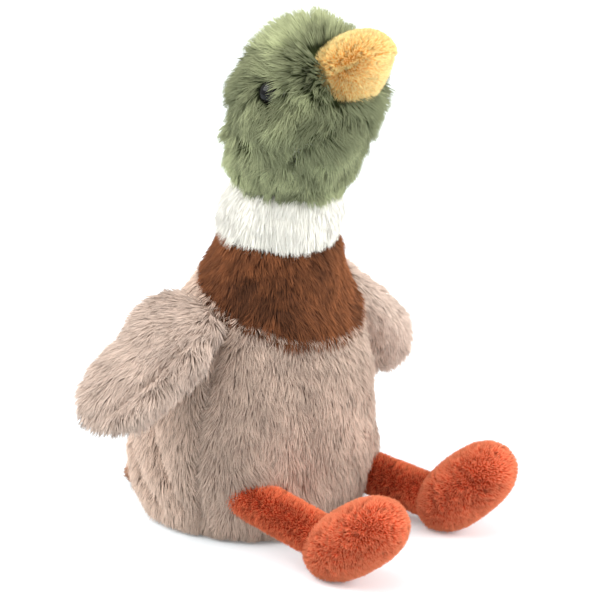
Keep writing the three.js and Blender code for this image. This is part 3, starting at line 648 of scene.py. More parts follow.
body_skin = skin_object("body_skin", body_rings(), "taupe", "body", ["body_cover"])

# %% [markdown]
# The body's pile is about 8 mm long and brushed down. It is short, with painted shade, in the seams and
# folds, paler at the shoulders, and paler behind the side seams with painted light. It could be one mesh,
# but such a mesh is too heavy to handle, so it grows in three panels.

# %% Body pile
LEVEL = 0.9  # cloth with a steeper normal than this lies level, hidden by the next piece
BODY_PILE_FROM = 2.0  # mm above the floor


def body_lay(points, normals):
    """Brushed straight down, in over each side seam close to it, and forward over the legs' roots."""
    turn = turn_round(points)
    around = np.stack([-np.sin(turn), np.cos(turn), 0 * turn], -1)
    away = np.zeros(len(points))
    for seam in SIDE_SEAMS:
        apart = from_seam(turn, seam)
        away -= np.tanh(apart / 2) * groove(apart, 7, 0.3)
    over_legs = sum(bump(points, hip + OVER_HIP, 7, 0.8) for hip in HIPS)
    return DOWN + away[:, None] * around - over_legs[:, None] * BACK


def creases(points):
    """1 in the side seams and the folds, where the pile is short and has painted shade, 0 elsewhere."""
    turn = turn_round(points)
    deepest = in_folds(turn, points[:, 2])
    for seam in SIDE_SEAMS:
        deepest = np.maximum(deepest, groove(from_seam(turn, seam), 2.2, 1.0))
    return deepest


def body_painted_light_and_shade(points, normals):
    """Painted shade in the creases, painted light behind the side seams, and paler at the shoulders."""
    shoulders = ramp(points[:, 2], 74, 88) * ramp(np.abs(points[:, 0]), 22, 32)
    # Painted light behind the side seams, growing over 12 mm towards the back.
    behind = np.clip(1 + (points[:, 1] - spine(points[:, 2])) / 12, 0, 1)
    return 0.17 * shoulders + 0.66 * behind - 0.34 * creases(points) - 0.1


def body_panel(from_deg, to_deg):
    """Keeps the roots between two turns, except on the floor and on the level top."""
    def keep(points, normals):
        turn = np.degrees(turn_round(points))
        inside = (turn - from_deg) % 360 < (to_deg - from_deg) % 360
        return inside & (points[:, 2] > BODY_PILE_FROM) & (normals[:, 2] < LEVEL)
    return keep


def body_length(points, normals):
    """Longer just above each leg, so that it hangs over the leg's root."""
    longer = sum(bump(points, hip + OVER_HIP, 8, 0.05) for hip in HIPS)
    return (1 + longer) * (1 - 0.4 * creases(points))


BODY_PANELS = {"front": (205, 335), "left": (335, 83), "right": (83, 205)}  # degrees from +X
for number, (side, (start, stop)) in enumerate(BODY_PANELS.items()):
    grow(f"body_pile_{side}", body_skin, body_lay, length=8.0, per_mm2=3.9, seed=100 + number,
         width=0.42, lift=(54, 8), swirl=22, tousle=12, keep=body_panel(start, stop), height=body_length,
         tone=body_painted_light_and_shade)

# %% [markdown]
# The bib is the brown breast and neck. Its pile is a little shorter and hangs over the seam. A
# hem could be modelled there, but the real one is hidden in the same way: by longer fibres above
# it.

# %% Bib


def ahead_and_up(pitch):
    """Unit vectors in the YZ plane: straight ahead (-Y) pitched up by an angle, and square to it."""
    return np.array([0, -math.cos(pitch), math.sin(pitch)]), np.array([0, math.sin(pitch), math.cos(pitch)])


COLLAR_SEAM = joint_place("neck_turn")
NECK_AXIS = ahead_and_up(-NECK_LEAN)[1]
THROAT_HOLLOW = (20, 2.6)  # radius and depth
BIB_RUN, BIB_TUCK = 26, (2.0, 1.2)  # mm from seam to seam; half width and depth of a sewn edge


def slimmer_throat(points):
    """The neck's front drawn in about the collar's seam, where the head's tilt back stretches it."""
    return points + BACK * bump(points, COLLAR_SEAM - BACK * NECK_RADIUS, *THROAT_HOLLOW)[..., None]


def bib_rings():
    """Rings between the two seams: the torso less an inset that is deeper at both ends, in slow waves."""
    share = np.linspace(0, 1, 30)[:, None]
    height = bib_line + 0.4 + (collar_line - bib_line - 0.8) * share
    turn = np.broadcast_to(TURNS, height.shape)
    ends = groove(share * BIB_RUN, *BIB_TUCK) + groove((1 - share) * BIB_RUN, *BIB_TUCK)
    points = torso_points(height, turn, BIB_INSET + ends)
    return slimmer_throat(torso_points(height, turn, BIB_INSET + ends + 0.5 * wander(points, 26, 12)))


bib_skin = skin_object("bib_skin", bib_rings(), "brown", "body", ["neck_bib"])


def bib_length(points, normals):
    """Longer low in front, where it hangs over the seam."""
    return 1 + 0.35 * ramp(points[:, 1], -10, -10 - BIB_SEAM_RADIUS) * ramp(points[:, 2], 92, 82)


def bib_painted_light_and_shade(points, normals):
    """Painted light makes the duck's left paler, and painted shade the front and the right darker."""
    return 0.4 * ramp(points[:, 0], 0, 16) - 0.11


def on_bib(points, normals):
    """Not at its level ends, nor just below the collar's seam, where the collar's pile lies outside."""
    return (np.abs(normals[:, 2]) < LEVEL) & ((points - COLLAR_SEAM) @ NECK_AXIS < -2)


grow("bib_pile", bib_skin, lambda points, normals: DOWN, length=7.5, per_mm2=5.2, seed=200, swirl=18,
     tousle=13, mottle=0.55, keep=on_bib, height=bib_length, tone=bib_painted_light_and_shade)

# %% [markdown]
# The collar is a band of straight white pile about the neck. Above it the neck goes on as a ball
# of fibre that the head sits over, which lets the head nod and turn. A plain tube could carry the
# pile. One that rounds in over the ball leaves no gap when the head leans.

# %% Collar
BALL = joint_place("head_nod")
BALL_RADIUS = 16
COLLAR_TOP = 19  # mm above its seam, where the head's pile covers it
RIGHT_BEHIND = np.array([-0.68, 0.73, 0])  # where the head presses the collar's pile outwards


def rings_about(centre, axis, along, radius, around=AROUND, side=LEFT):
    """Rings of given radius at distances along an axis. A ring starts at a side square to the axis."""
    turn = all_round(around)
    circle = np.cos(turn)[:, None] * side + np.sin(turn)[:, None] * np.cross(axis, side)
    return centre + along[:, None, None] * axis + radius[:, None, None] * circle[None]


def collar_rings():
    """From the seam straight up, rounding in over the ball."""
    low = np.linspace(0.4, 10, 12)
    wall = NECK_RADIUS - COLLAR_INSET - groove(low, 1.6, 1.2)
    arc = np.linspace(0.25, np.pi / 2 - 0.02, 10)
    rise = np.linalg.norm(BALL - COLLAR_SEAM)
    along = np.concatenate([low, rise + BALL_RADIUS * np.sin(arc) - 0.3])
    radius = np.concatenate([wall, (BALL_RADIUS - 0.3) * np.cos(arc)])
    return slimmer_throat(rings_about(COLLAR_SEAM, NECK_AXIS, along, radius, 96))


collar_skin = skin_object("collar_skin", collar_rings(), "white", "neck", ["neck_collar", "collar_stuffing"])


def on_collar(points, normals):
    """Below the ball's top, and not at the level lower end."""
    return ((points - COLLAR_SEAM) @ NECK_AXIS < COLLAR_TOP) & (normals @ NECK_AXIS > -0.6)


def pushed_up(points):
    """1 at the collar's right rear, falling to 0 at its sides."""
    return ramp((points - BALL) @ RIGHT_BEHIND, 0, NECK_RADIUS) ** 2


def collar_lay(points, normals):
    """Brushed straight down, and standing out at the right rear."""
    return DOWN + 1.1 * pushed_up(points)[:, None] * normals


def collar_length(points, normals):
    """Shorter behind, where the collar's lower edge is higher, but not where it stands out."""
    return 0.85 - 0.15 * (points[:, 1] - BALL[1]) / NECK_RADIUS + 0.4 * pushed_up(points)


grow("collar_pile", collar_skin, collar_lay, length=9.5, per_mm2=8, seed=300, width=0.42,
     lock=2.2, swirl=12, mottle=0.15, keep=on_collar, height=collar_length)

# %% [markdown]
# The head is a long egg, with a hollow below that fits over the ball. A stretched sphere could
# stand for it, but the real outline is fullest low down. So it is a sine swell from the rim to
# the widest ring, and a quarter ellipse to the crown.

# %% Head
HEAD_LEAN = math.radians(12)
RIM_RADIUS, HEAD_RADIUS, HEAD_WIDEST, HEAD_TOP = 20, 30, 32, 65
HEAD_FRONT, HEAD_AXIS = ahead_and_up(-HEAD_LEAN)
HEAD_INSET = 4.8
EYE_ALONG, EYE_TURN, EYE_RADIUS = 45.5, math.radians(7), 4.5
HEAD_ROOM = 0.9  # between the head's hollow and the ball


def head_radius(along):
    """A sine swell up to the widest ring, then a quarter ellipse to the crown."""
    swell = np.sin(np.pi * np.clip(along, 0, HEAD_WIDEST) / (2 * HEAD_WIDEST))
    low = RIM_RADIUS + (HEAD_RADIUS - RIM_RADIUS) * swell
    rise = ramp(along, HEAD_WIDEST, HEAD_TOP)
    return np.where(along < HEAD_WIDEST, low, HEAD_RADIUS * np.sqrt(1 - rise ** 2))


def eye_place(side):
    """The point on the pile's mean surface in front of an eye, and the direction that it looks in."""
    out = side * math.cos(EYE_TURN) * LEFT + math.sin(EYE_TURN) * HEAD_FRONT
    radius = float(head_radius(np.array(EYE_ALONG)))
    rise = (EYE_ALONG - HEAD_WIDEST) / (HEAD_TOP - HEAD_WIDEST) ** 2
    look = unit(out * radius / HEAD_RADIUS ** 2 + HEAD_AXIS * rise)
    return BALL + HEAD_AXIS * EYE_ALONG + out * radius, look


def up_the_head(points):
    """How far up the head's axis points lie from the ball, in mm."""
    return (points - BALL) @ HEAD_AXIS


EYES = {"left": eye_place(1), "right": eye_place(-1)}
print("eyes at, mm:", [place.round(1).tolist() for place, _look in EYES.values()])


def head_rings():
    """The egg, drawn in by the pile, closed below by a hollow that fits over the ball."""
    low = np.linspace(2.0, HEAD_WIDEST, 32)
    crown = HEAD_WIDEST + (HEAD_TOP - HEAD_WIDEST) * np.sin(np.linspace(0, np.pi / 2, 33))[1:]
    shrink = (HEAD_TOP - HEAD_WIDEST - HEAD_INSET) / (HEAD_TOP - HEAD_WIDEST)
    radius = head_radius(np.concatenate([low, crown]))
    radius[:-1] -= HEAD_INSET
    socket = BALL_RADIUS + HEAD_ROOM
    arc = np.linspace(0.02, 1.38, 9)
    along = np.concatenate([socket * np.cos(arc), low, HEAD_WIDEST + (crown - HEAD_WIDEST) * shrink])
    radius = np.concatenate([socket * np.sin(arc), np.maximum(radius, 0.02)])
    return rings_about(BALL, HEAD_AXIS, along, radius)

# %% [markdown]
# The real head differs from an egg wherever the beak, the cheeks and the neck pull on its cloth.
# It could be sculpted until it looks right. Here each difference is a bump with its own place,
# width and height, so one can be corrected without the others.

# %% Head's stuffed form
BEAK_ALONG, BEAK_FORWARD, BEAK_PITCH = 54.5, 18.5, math.radians(27)
BEAK_AXIS, BEAK_UP = ahead_and_up(BEAK_PITCH)
BEAK = BALL + HEAD_AXIS * BEAK_ALONG + HEAD_FRONT * BEAK_FORWARD
# Of each swelling in the middle: its centre, radius and height, in mm. A hollow's height is below 0.
SWELLINGS = {
    "muzzle": (BEAK - BEAK_AXIS * 5 - BEAK_UP, 14, 4.6),
    "crown": (BALL + HEAD_AXIS * HEAD_TOP + HEAD_FRONT * 5, 16, 1.5),
    "brow": (BEAK + BEAK_UP * 13 - BEAK_AXIS * 6, 8, -1.2),
    "chin": (BALL + HEAD_AXIS * 12 + HEAD_FRONT * 26, 13, -4.2),
    "nape": (BALL + HEAD_AXIS * 54 - HEAD_FRONT * 22, 17, -2.6),
}
# Of each pair at the sides: mm up the head and out from its axis, 1 ahead or -1 behind, radius, height.
PAIRS = {"behind": (28, HEAD_RADIUS, -1, 19, -4.9), "jaw": (24, HEAD_RADIUS, 1, 17, -3.2)}
RIM_PAIR = (5, RIM_RADIUS, -1, 13, 2.8)
HEAD_WAVES = (0.8, 22)  # mm deep, and mm long


def side_swelling(points, sign, up, out, ahead, radius, height):
    """A bump up the axis and out from it, halfway round from a side to the front or to the back."""
    centre = BALL + HEAD_AXIS * up + 0.7 * (sign * LEFT + ahead * HEAD_FRONT) * out
    return bump(points, centre, radius, height)


def stuffed_head(rings):
    """Away from the widest ring's middle by the sum of the swellings, and away from the axis by those at
    the rim. So the head is fuller round the beak's root and at the crown, flatter under the chin,
    and more of a column behind."""
    outward = unit(rings - (BALL + HEAD_AXIS * HEAD_WIDEST))
    swell = sum(bump(rings, *swelling) for swelling in SWELLINGS.values())
    swell = swell + HEAD_WAVES[0] * wander(rings, HEAD_WAVES[1], 9)
    sides = sum(side_swelling(rings, sign, *pair) for sign in (-1, 1) for pair in PAIRS.values())
    rim = sum(side_swelling(rings, sign, *RIM_PAIR) for sign in (-1, 1))
    above = ramp(up_the_head(rings), 0, 6)
    flat = rings - BALL - up_the_head(rings)[..., None] * HEAD_AXIS
    return rings + outward * ((swell + sides) * above)[..., None] + unit(flat) * (rim * above)[..., None]


head_skin = skin_object("head_skin", stuffed_head(head_rings()), "green", "head", ["head_cover"])

# %% [markdown]
# The head's pile is the longest and most tousled. It starts at the beak, runs back over the crown
# and down the cheeks, and parts round each eye, so that the eye sits in a hollow. The directions
# could be painted. Formulas from the places of beak and eyes follow when these move.

# %% Head pile
BEAK_ROOM = (11, 9, 12)  # mm to each side, above and below, and behind that stay free of pile


def head_lay(points, normals):
    """Away from the beak, and downwards more and more towards the neck. Close to the beak's root the
    pile stands up and laps over it, and round each eye it parts."""
    away = unit(points - (BEAK - HEAD_FRONT * 4 - HEAD_AXIS * 2))
    fall = ramp(up_the_head(points), 52, 22)
    direction = away * (1 - 0.55 * fall)[:, None] + DOWN * (1.2 * fall)[:, None]
    direction += BEAK_AXIS * bump(points, BEAK - BEAK_AXIS * 8 + BEAK_UP * 2, 12, 1.0)[:, None]
    for place, _look in EYES.values():
        direction += unit(points - place) * bump(points, place, 9, 1.0)[:, None]
    return direction


def clear_of_eyes_and_beak(points, normals):
    """Above the rim and outside the hollow, further than an eye's radius from its axis, and outside a
    box about the beak."""
    wanted = up_the_head(points) > 1.5
    wanted &= np.linalg.norm(points - BALL, axis=1) > BALL_RADIUS + 1.2
    for place, look in EYES.values():
        apart = points - place
        wanted &= np.linalg.norm(apart - np.outer(apart @ look, look), axis=1) > EYE_RADIUS - 0.7
    beak = points - BEAK
    beside, above, behind = BEAK_ROOM
    inside = np.abs(beak[:, 0]) < beside
    inside &= (np.abs(beak @ BEAK_UP) < above) & (beak @ BEAK_AXIS > -behind)
    return wanted & ~inside


def head_length(points, normals):
    """Shorter at the lower rim, round the eyes and at the beak's root."""
    shorter = sum(bump(points, place, 8, 0.35) for place, _look in EYES.values())
    shorter = shorter + bump(points, BEAK - BEAK_AXIS * 8, 14, 0.3)
    rows = [0, 8, 20, 50, 62]  # mm up the head
    return np.interp(up_the_head(points), rows, [0.62, 0.66, 0.95, 1.0, 1.0]) * (1 - shorter)


def head_painted_light_and_shade(points, normals):
    """Painted shade, darkest at the cheeks' height and in front; painted light towards the crown and rim."""
    rows = [0, 12, 28, 42, 62]  # mm up the head
    tones = np.interp(up_the_head(points), rows, [-0.06, -0.12, -0.38, -0.3, -0.2])
    return tones - 0.2 * ramp((points - BALL) @ HEAD_FRONT, 0, HEAD_RADIUS)


def head_panel(side):
    """Keeps the roots on one side of the head's middle."""
    return lambda points, normals: clear_of_eyes_and_beak(points, normals) & (points[:, 0] * side >= 0)


for side, sign in (("left", 1), ("right", -1)):
    grow(f"head_pile_{side}", head_skin, head_lay, length=10, per_mm2=5.2, seed=430 + sign,
         width=0.34, lift=(64, 10), lock=2.1, gather=0.65, swirl=30, tousle=42, mottle=0.6,
         keep=head_panel(sign), height=head_length, tone=head_painted_light_and_shade)

# %% [markdown]
# The eyes are black plastic safety eyes: a polished dome on a shank, locked behind the cloth. The
# CAD model's dome has flats that would show in its highlight, so it is turned smooth here.

# %% Eyes


def moulded_plastic(name, colour, roughness, shine=0.5):
    """Injection-moulded plastic: a faint orange peel, a third of a millimetre across, in its gloss."""
    return textured_material(name, "ShaderNodeTexNoise", "Fac", 0.35, (colour,), roughness, shine,
                             relief=0.05, depth=0.05, Detail=2.0)


# The eye is polished, so it gives small sharp highlights. The hidden pieces are duller.
eye_plastic = moulded_plastic("polished_black_plastic", "#060607", 0.05, shine=0.2)
white_plastic = moulded_plastic("white_polypropylene", "#e6e6e0", 0.45)
capsule_plastic = moulded_plastic("frosted_capsule_plastic", "#dfe6ea", 0.3)
bead_plastic = moulded_plastic("red_bead_plastic", "#d8402e", 0.25)
EYE_SINK, EYE_DOME, SHANK_RADIUS, SHANK_LENGTH = 6.2, 4.0, 1.6, 7.0


def turned_rings(centre, axis, along, radius, around=48):
    """Rings about any axis, from any side square to it."""
    axis = unit(axis)
    return rings_about(centre, axis, along, radius, around, unit(np.cross(axis, [0.3, 0.5, 0.8])))


for side, (place, look) in EYES.items():
    arc = np.linspace(0, np.pi / 2 - 0.03, 14)
    shank = [-SHANK_LENGTH, -SHANK_LENGTH + 0.3, -0.3, 0, 0.05]
    along = np.concatenate([shank, 0.25 + (EYE_DOME - 0.25) * np.sin(arc)])
    radius = np.concatenate([[SHANK_RADIUS - 0.3] + [SHANK_RADIUS] * 3 + [EYE_RADIUS - 0.25],
                             EYE_RADIUS * np.cos(arc)])
    rings = turned_rings(place - look * EYE_SINK, look, along, radius)
    eye = add_object(f"eye_dome_{side}", closed_mesh(f"eye_dome_{side}", rings), eye_plastic)
    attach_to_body(eye, "head")
    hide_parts(f"eye_{side}")
    print(eye.name, len(eye.data.polygons), "triangles")

# %% [markdown]
# Inside are clouds of carded polyester, the eyes' washers, and a capsule with its beads. They
# could be modelled finely, but the covers hide them, so they keep their CAD forms and get only
# materials: the fibre is white, with clouds about 6 mm across.

# %% Inner pieces
fibre = textured_material("carded_polyester_fibre", "ShaderNodeTexNoise", "Fac", 6, ("#e4e4de", "#fbfbf7"),
                          roughness=1.0, shine=0.1, relief=0.6, depth=0.6, Detail=8.0, Roughness=0.7)
INNER = {"stuffing": fibre, "washer": white_plastic, "capsule": capsule_plastic, "ball": bead_plastic}
for name, solid in frame["nodes"].items():
    for word, material in INNER.items():
        if word in name:
            for slot in solid.material_slots:
                slot.material = material
            print(name, "gets", material.name)

# %% [markdown]
# The beak is two puffed halves of short pile with the mouth seam between them. The lower one
# narrows as it goes down. Each could be its own form, but halves of superellipsoids share their
# seam. Short pile stands almost upright and looks granular, so its fibres are short spikes.

# %% Beak
BEAK_HALF_WIDTH = 13.5
# Of each half: its reach, its puffed thickness, and how square its outline is.
BEAK_HALVES = {"upper": (15.3, 11.2, 3.0), "lower": (15.6, 13.8, 2.3)}
BEAK_INSET = 1.3
BEAK_HINGE = -6.0  # along the beak; the lower half narrows towards this as it goes down
LOST_WIDTH, LOST_LENGTH = 0.3, 0.55  # shares that the lower half has lost at its bottom


def beak_rings(reach, thickness, fullness, side):
    """Half of a superellipsoid, on one side of the seam: at s along the beak its size is
    (1 - |s / reach|^n)^(1 / n). The lower half narrows as it goes down."""
    s = reach * np.sin(np.linspace(-0.62, 0.985, 34) * np.pi / 2)
    swell = ((1 - np.abs(s / reach) ** fullness) ** (1 / fullness))[:, None]
    half_width = (BEAK_HALF_WIDTH - BEAK_INSET) * swell
    turn = np.linspace(0, np.pi, 33)
    thick = (thickness - BEAK_INSET) * swell * np.sin(turn) ** 0.9 + 0.2
    flat = -np.linspace(1, -1, 17)[1:-1]
    across = np.concatenate([half_width * np.cos(turn), half_width * flat], 1)
    above = side * np.concatenate([thick, np.full((len(s), len(flat)), 0.1)], 1)
    depth = ramp(above, 0, -thickness)  # 0 in the upper half
    across = (across * (1 - LOST_WIDTH * depth))[..., None]
    reached = (BEAK_HINGE + (s[:, None] - BEAK_HINGE) * (1 - LOST_LENGTH * depth))[..., None]
    return BEAK + reached * BEAK_AXIS + across * LEFT + above[..., None] * BEAK_UP


def beak_lay(points, normals):
    """From the root forward, fanning a little to the sides, and closing over the seam."""
    above = (points - BEAK) @ BEAK_UP
    closing = -np.tanh(above) * groove(above, 3, 1.5)
    return BEAK_AXIS + 0.8 * unit(points - (BEAK - BEAK_AXIS * 14)) + closing[:, None] * BEAK_UP


def out_of_the_head(points, normals):
    """Where the beak shows: further out than the head's cloth, and not on the halves' flat faces."""
    along = up_the_head(points)
    radial = np.linalg.norm(points - BALL - np.outer(along, HEAD_AXIS), axis=1)
    return (radial > head_radius(along) - 5) & (np.abs((points - BEAK) @ BEAK_UP) > 0.12)


for half, side, colour in (("upper", 1, "yellow"), ("lower", -1, "pale_yellow")):
    skin = skin_object(f"beak_{half}_skin", beak_rings(*BEAK_HALVES[half], side), colour, "head",
                       [f"beak_{half}"])
    grow(f"beak_{half}_pile", skin, beak_lay, length=2.4, per_mm2=13, seed=500 + side, lift=(82, 60),
         short=True, lock=0.9, gather=0.4, swirl=30, mottle=0.25, keep=out_of_the_head)

# %% [markdown]
# The wings are flat stuffed paddles, sewn on at the shoulder along the root's chord. The left one
# is twisted, as it hangs in the photograph. A straight wing could be bent afterwards, but that
# would stretch its pile. So each is a run of ovals along a line, turned from one to the next.

# %% Wings
WING_LENGTH, WING_INSET, WING_TIP_INSET = 55, 2.4, 5.5
WING_ROOT_CHORD, WING_CHORD = 11, 15.5
WING_ROOT_THICKNESS, WING_THICKNESS = 5, 8
WING_THICKEST, WING_WIDEST = 0.55, 0.6
WING_BEND = (4, 10)  # how far before and after the shoulder a bend is given to start and end, in mm
SHOULDER_FILL = (9, 12, 2.0)  # mm from the shoulder, reach and height of the stuffing there
GROOVE_AT = -0.42  # share of the half chord, on the right wing's outer face
WING_GROOVE, BELOW_IT = (2.2, 2.6), 1.8  # half width and depth in mm, and mm that the edge below it draws in
# Angles in degrees; fill is how far, in mm, the stuffing pushes out the upper edge at the root.
WING_POSES = {
    "right": {"side": -1, "droop": 32, "sweep": 13, "root_twist": 20, "tip_twist": 20, "fill": 6.3},
    "left": {"side": 1, "droop": 54, "sweep": -2, "root_twist": 30, "tip_twist": 85, "fill": 2.5},
}


def wing_half_size(s, root, full, full_at):
    """Round at the root, a sine growth to the widest station, an ellipse to the tip."""
    widest = WING_LENGTH * full_at
    blunt = root * np.sqrt(np.clip(1 - (s / (1.5 * WING_ROOT_THICKNESS)) ** 2, 0, 1))
    grown = root + (full - root) * np.sin(np.pi * np.clip(s, 0, widest) / (2 * widest))
    tip = full * np.sqrt(np.clip(1 - ((s - widest) / (WING_LENGTH - widest)) ** 2, 0, 1))
    return np.where(s < 0, blunt, np.where(s < widest, grown, tip))


def wing_axes(side):
    """The shoulder, and the wing's directions along its length, chord and face."""
    pose = WING_POSES[side]
    droop, sweep, twist = (math.radians(pose[key]) for key in ("droop", "sweep", "root_twist"))
    along = np.array([pose["side"] * math.cos(droop) * math.cos(sweep), math.cos(droop) * math.sin(sweep),
                      -math.sin(droop)])
    chord = np.array([0, math.cos(twist), math.sin(twist)])
    chord = unit(chord - along * (chord @ along))
    return joint_place(f"wing_{side}_flap"), along, chord, np.cross(along, chord)


def wing_rings(side):
    """Ovals (x = half chord * cos, y = half thickness * sin, both less the pile), each turned about the
    wing's line by its share of the twist. The right wing has a groove along its outer face."""
    pose = WING_POSES[side]
    shoulder, along, chord, face = wing_axes(side)
    root = 1.5 * WING_ROOT_THICKNESS * np.sin(np.linspace(-1.35, 0, 8))
    end = WING_LENGTH - WING_TIP_INSET
    s = np.concatenate([root, end * np.sin(np.linspace(0, 1.55, 40))[1:]])[:, None]
    stretch = np.where(s > 0, s * WING_LENGTH / end, s)
    place, reach, height = SHOULDER_FILL
    shoulder_fill = groove(s - place, reach, height)
    half_chord = wing_half_size(stretch, WING_ROOT_CHORD, WING_CHORD, WING_WIDEST) + shoulder_fill
    half_thick = wing_half_size(stretch, WING_ROOT_THICKNESS, WING_THICKNESS, WING_THICKEST) + shoulder_fill
    shrink = np.minimum(WING_INSET, 0.9 * half_thick)
    turn = all_round(72)
    upper_edge = groove(s - 1, reach, pose["fill"]) * np.clip(np.cos(turn), 0, 1)
    x = (half_chord - shrink) * np.cos(turn) + upper_edge
    y = (half_thick - shrink) * np.sin(turn)
    if side == "right":
        outer = np.clip(-np.sin(turn) * 2, 0, 1) * ramp(s, 0, 8) * ramp(s, 48, 38)
        y = y + outer * groove(x - GROOVE_AT * half_chord, *WING_GROOVE)
        x = x - BELOW_IT * outer * np.clip(-np.cos(turn), 0, 1)
    most = pose["side"] * math.radians(pose["root_twist"] - pose["tip_twist"])
    angle = most * ramp(s, 0, WING_LENGTH * WING_WIDEST)
    chordwise = (x * np.cos(angle) - y * np.sin(angle))[..., None]
    facewise = (x * np.sin(angle) + y * np.cos(angle))[..., None]
    return shoulder + s[..., None] * along + chordwise * chord + facewise * face

# %% [markdown]
# The pile fans out from the shoulder to the tip. Across the right wing runs a groove with a
# fluffy band below it. A seam could be cut there, but in the photograph only the lay changes, so
# the fibres turn away from the line, with painted shade beside it.

# %% Wing pile


def below_groove(points, side):
    """1 on the fluffy band below the right wing's groove, -1 above it, 0 on it; and how near it is."""
    shoulder, along, chord, face = wing_axes(side)
    s = (points - shoulder) @ along
    half_chord = wing_half_size(s, WING_ROOT_CHORD, WING_CHORD, WING_WIDEST)
    across = (points - shoulder) @ chord - GROOVE_AT * half_chord
    shown = ramp(s, 0, 6) * ramp(s, 50, 42) * ((points - shoulder) @ face < 1)
    return np.tanh(-across / 2) * shown, groove(across, 1.8, 1.0) * shown


def wing_painted_light_and_shade(side):
    """Painted shade in the right wing's groove; the left wing gets less light, so it is painted paler."""
    return lambda points, normals: -0.12 * below_groove(points, side)[1] if side == "right" else 0.4


def wing_lay(side):
    """From the shoulder to the tip, fanning out across the chord, and drooping a little."""
    shoulder, along, chord, _face = wing_axes(side)

    def lay(points, normals):
        low = ramp((points - shoulder) @ along, 0, WING_LENGTH)[:, None]
        direction = unit(points - (shoulder - along * 22)) + (0.25 + 0.5 * low) * DOWN
        if side == "right":
            below, _near = below_groove(points, side)
            direction = direction - (0.9 * np.clip(below, 0, 1))[:, None] * chord
        return direction
    return lay


for number, side in enumerate(("right", "left")):
    shoulder, along, _chord, _face = wing_axes(side)
    bend = ("body", shoulder - along * WING_BEND[0], shoulder + along * WING_BEND[1])
    skin = skin_object(f"wing_skin_{side}", wing_rings(side), "taupe_wing", f"wing_{side}",
                       [f"wing_cover_{side}"], bend=bend)
    grow(f"wing_pile_{side}", skin, wing_lay(side), length=8, per_mm2=5.6,
         seed=600 + number, lift=(46, 6), lock=1.9, tousle=12, tone=wing_painted_light_and_shade(side))

# %% [markdown]
# The legs are plain tubes and the feet are mittens with the toes up. Both rest on their heels,
# where they are pressed flat. They could be sculpted, but a rod with round ends and a
# superellipsoid are all that shows, and both have a formula for where they touch the floor.

# %% Legs and feet
LEG_INSET, FOOT_INSET, LEG_ROOT = 1.4, 1.4, 9.0
LEG_BEND = (8, 12)  # how far before and after the hip a bend is given to start and end, in mm
FOOT_HALF_LENGTH, FOOT_RADIUS, FOOT_AHEAD = 24, 12.2, 13
FOOT_FULLNESS = 2.5  # how square its outline is
FOOT_PITCH = {"left": math.radians(43), "right": math.radians(36)}
LEG_SPLAY = {"left": math.radians(0), "right": math.radians(2)}
FLAT_DEPTH = 0.5
SOLE, SOLE_PILE_FROM = 0.9, 1.1  # mm above the floor
SHORT_PILE = {"per_mm2": 8, "width": 0.46, "lift": (76, 55), "short": True, "swirl": 28}


def capsule_rings(start, end, radius):
    """A rod with round ends about two points. Its first end is drawn back into the body's pile."""
    start = start - unit(end - start) * LEG_ROOT
    length = float(np.linalg.norm(end - start))
    arc = np.linspace(0.03, np.pi / 2, 12)
    past = arc - arc[0]
    wall = np.linspace(0, length, 26)[1:-1]
    along = np.concatenate([-radius * np.cos(arc), wall, length + radius * np.sin(past)])
    wide = np.concatenate([radius * np.sin(arc), np.full(24, radius), radius * np.cos(past)])
    return turned_rings(start, end - start, along, np.maximum(wide, 0.05), 64)


def foot_frame(side):
    """The foot's middle and its directions: across, lengthwise with the toes up, and up out of it."""
    sign = 1 if side == "left" else -1
    ankle = joint_place(f"ankle_{side}")
    splay, pitch = LEG_SPLAY[side], FOOT_PITCH[side]
    ahead = np.array([sign * math.sin(splay), -math.cos(splay), 0])
    middle = ankle + ahead * FOOT_AHEAD
    dual = FOOT_FULLNESS / (FOOT_FULLNESS - 1)
    below = (FOOT_HALF_LENGTH * math.sin(pitch)) ** dual + (FOOT_RADIUS * math.cos(pitch)) ** dual
    middle[2] = below ** (1 / dual) - FLAT_DEPTH
    toes = ahead * math.cos(pitch) - DOWN * math.sin(pitch)
    across = np.cross(DOWN, ahead)
    return middle, across, toes, np.cross(across, toes)


def foot_rings(side):
    """A superellipsoid, cut flat by the floor: half length * sin(a) along the foot, and
    radius * (1 - |sin(a)|^n)^(1/n) round it."""
    middle, across, toes, out = foot_frame(side)
    arc = np.linspace(-np.pi / 2 + 0.03, np.pi / 2 - 0.03, 44)[:, None]
    turn = all_round(72)
    s = (FOOT_HALF_LENGTH - FOOT_INSET) * np.sin(arc)
    r = (FOOT_RADIUS - FOOT_INSET) * (1 - np.abs(np.sin(arc)) ** FOOT_FULLNESS) ** (1 / FOOT_FULLNESS)
    points = (middle + s[..., None] * toes + (r * np.cos(turn))[..., None] * across
              + (r * np.sin(turn))[..., None] * out)
    points[..., 2] = np.maximum(points[..., 2], SOLE)
    return points

# %% [markdown]
# Their pile is short and dense, like velour. A bumpy material could stand for it, but at the
# outline the fibres show, so they are grown as short spikes that lean a little towards the toes.

# %% Covers and pile of the legs and feet


def off_the_floor(points, normals):
    """Higher than the flat that the foot rests on."""
    return points[:, 2] > SOLE_PILE_FROM


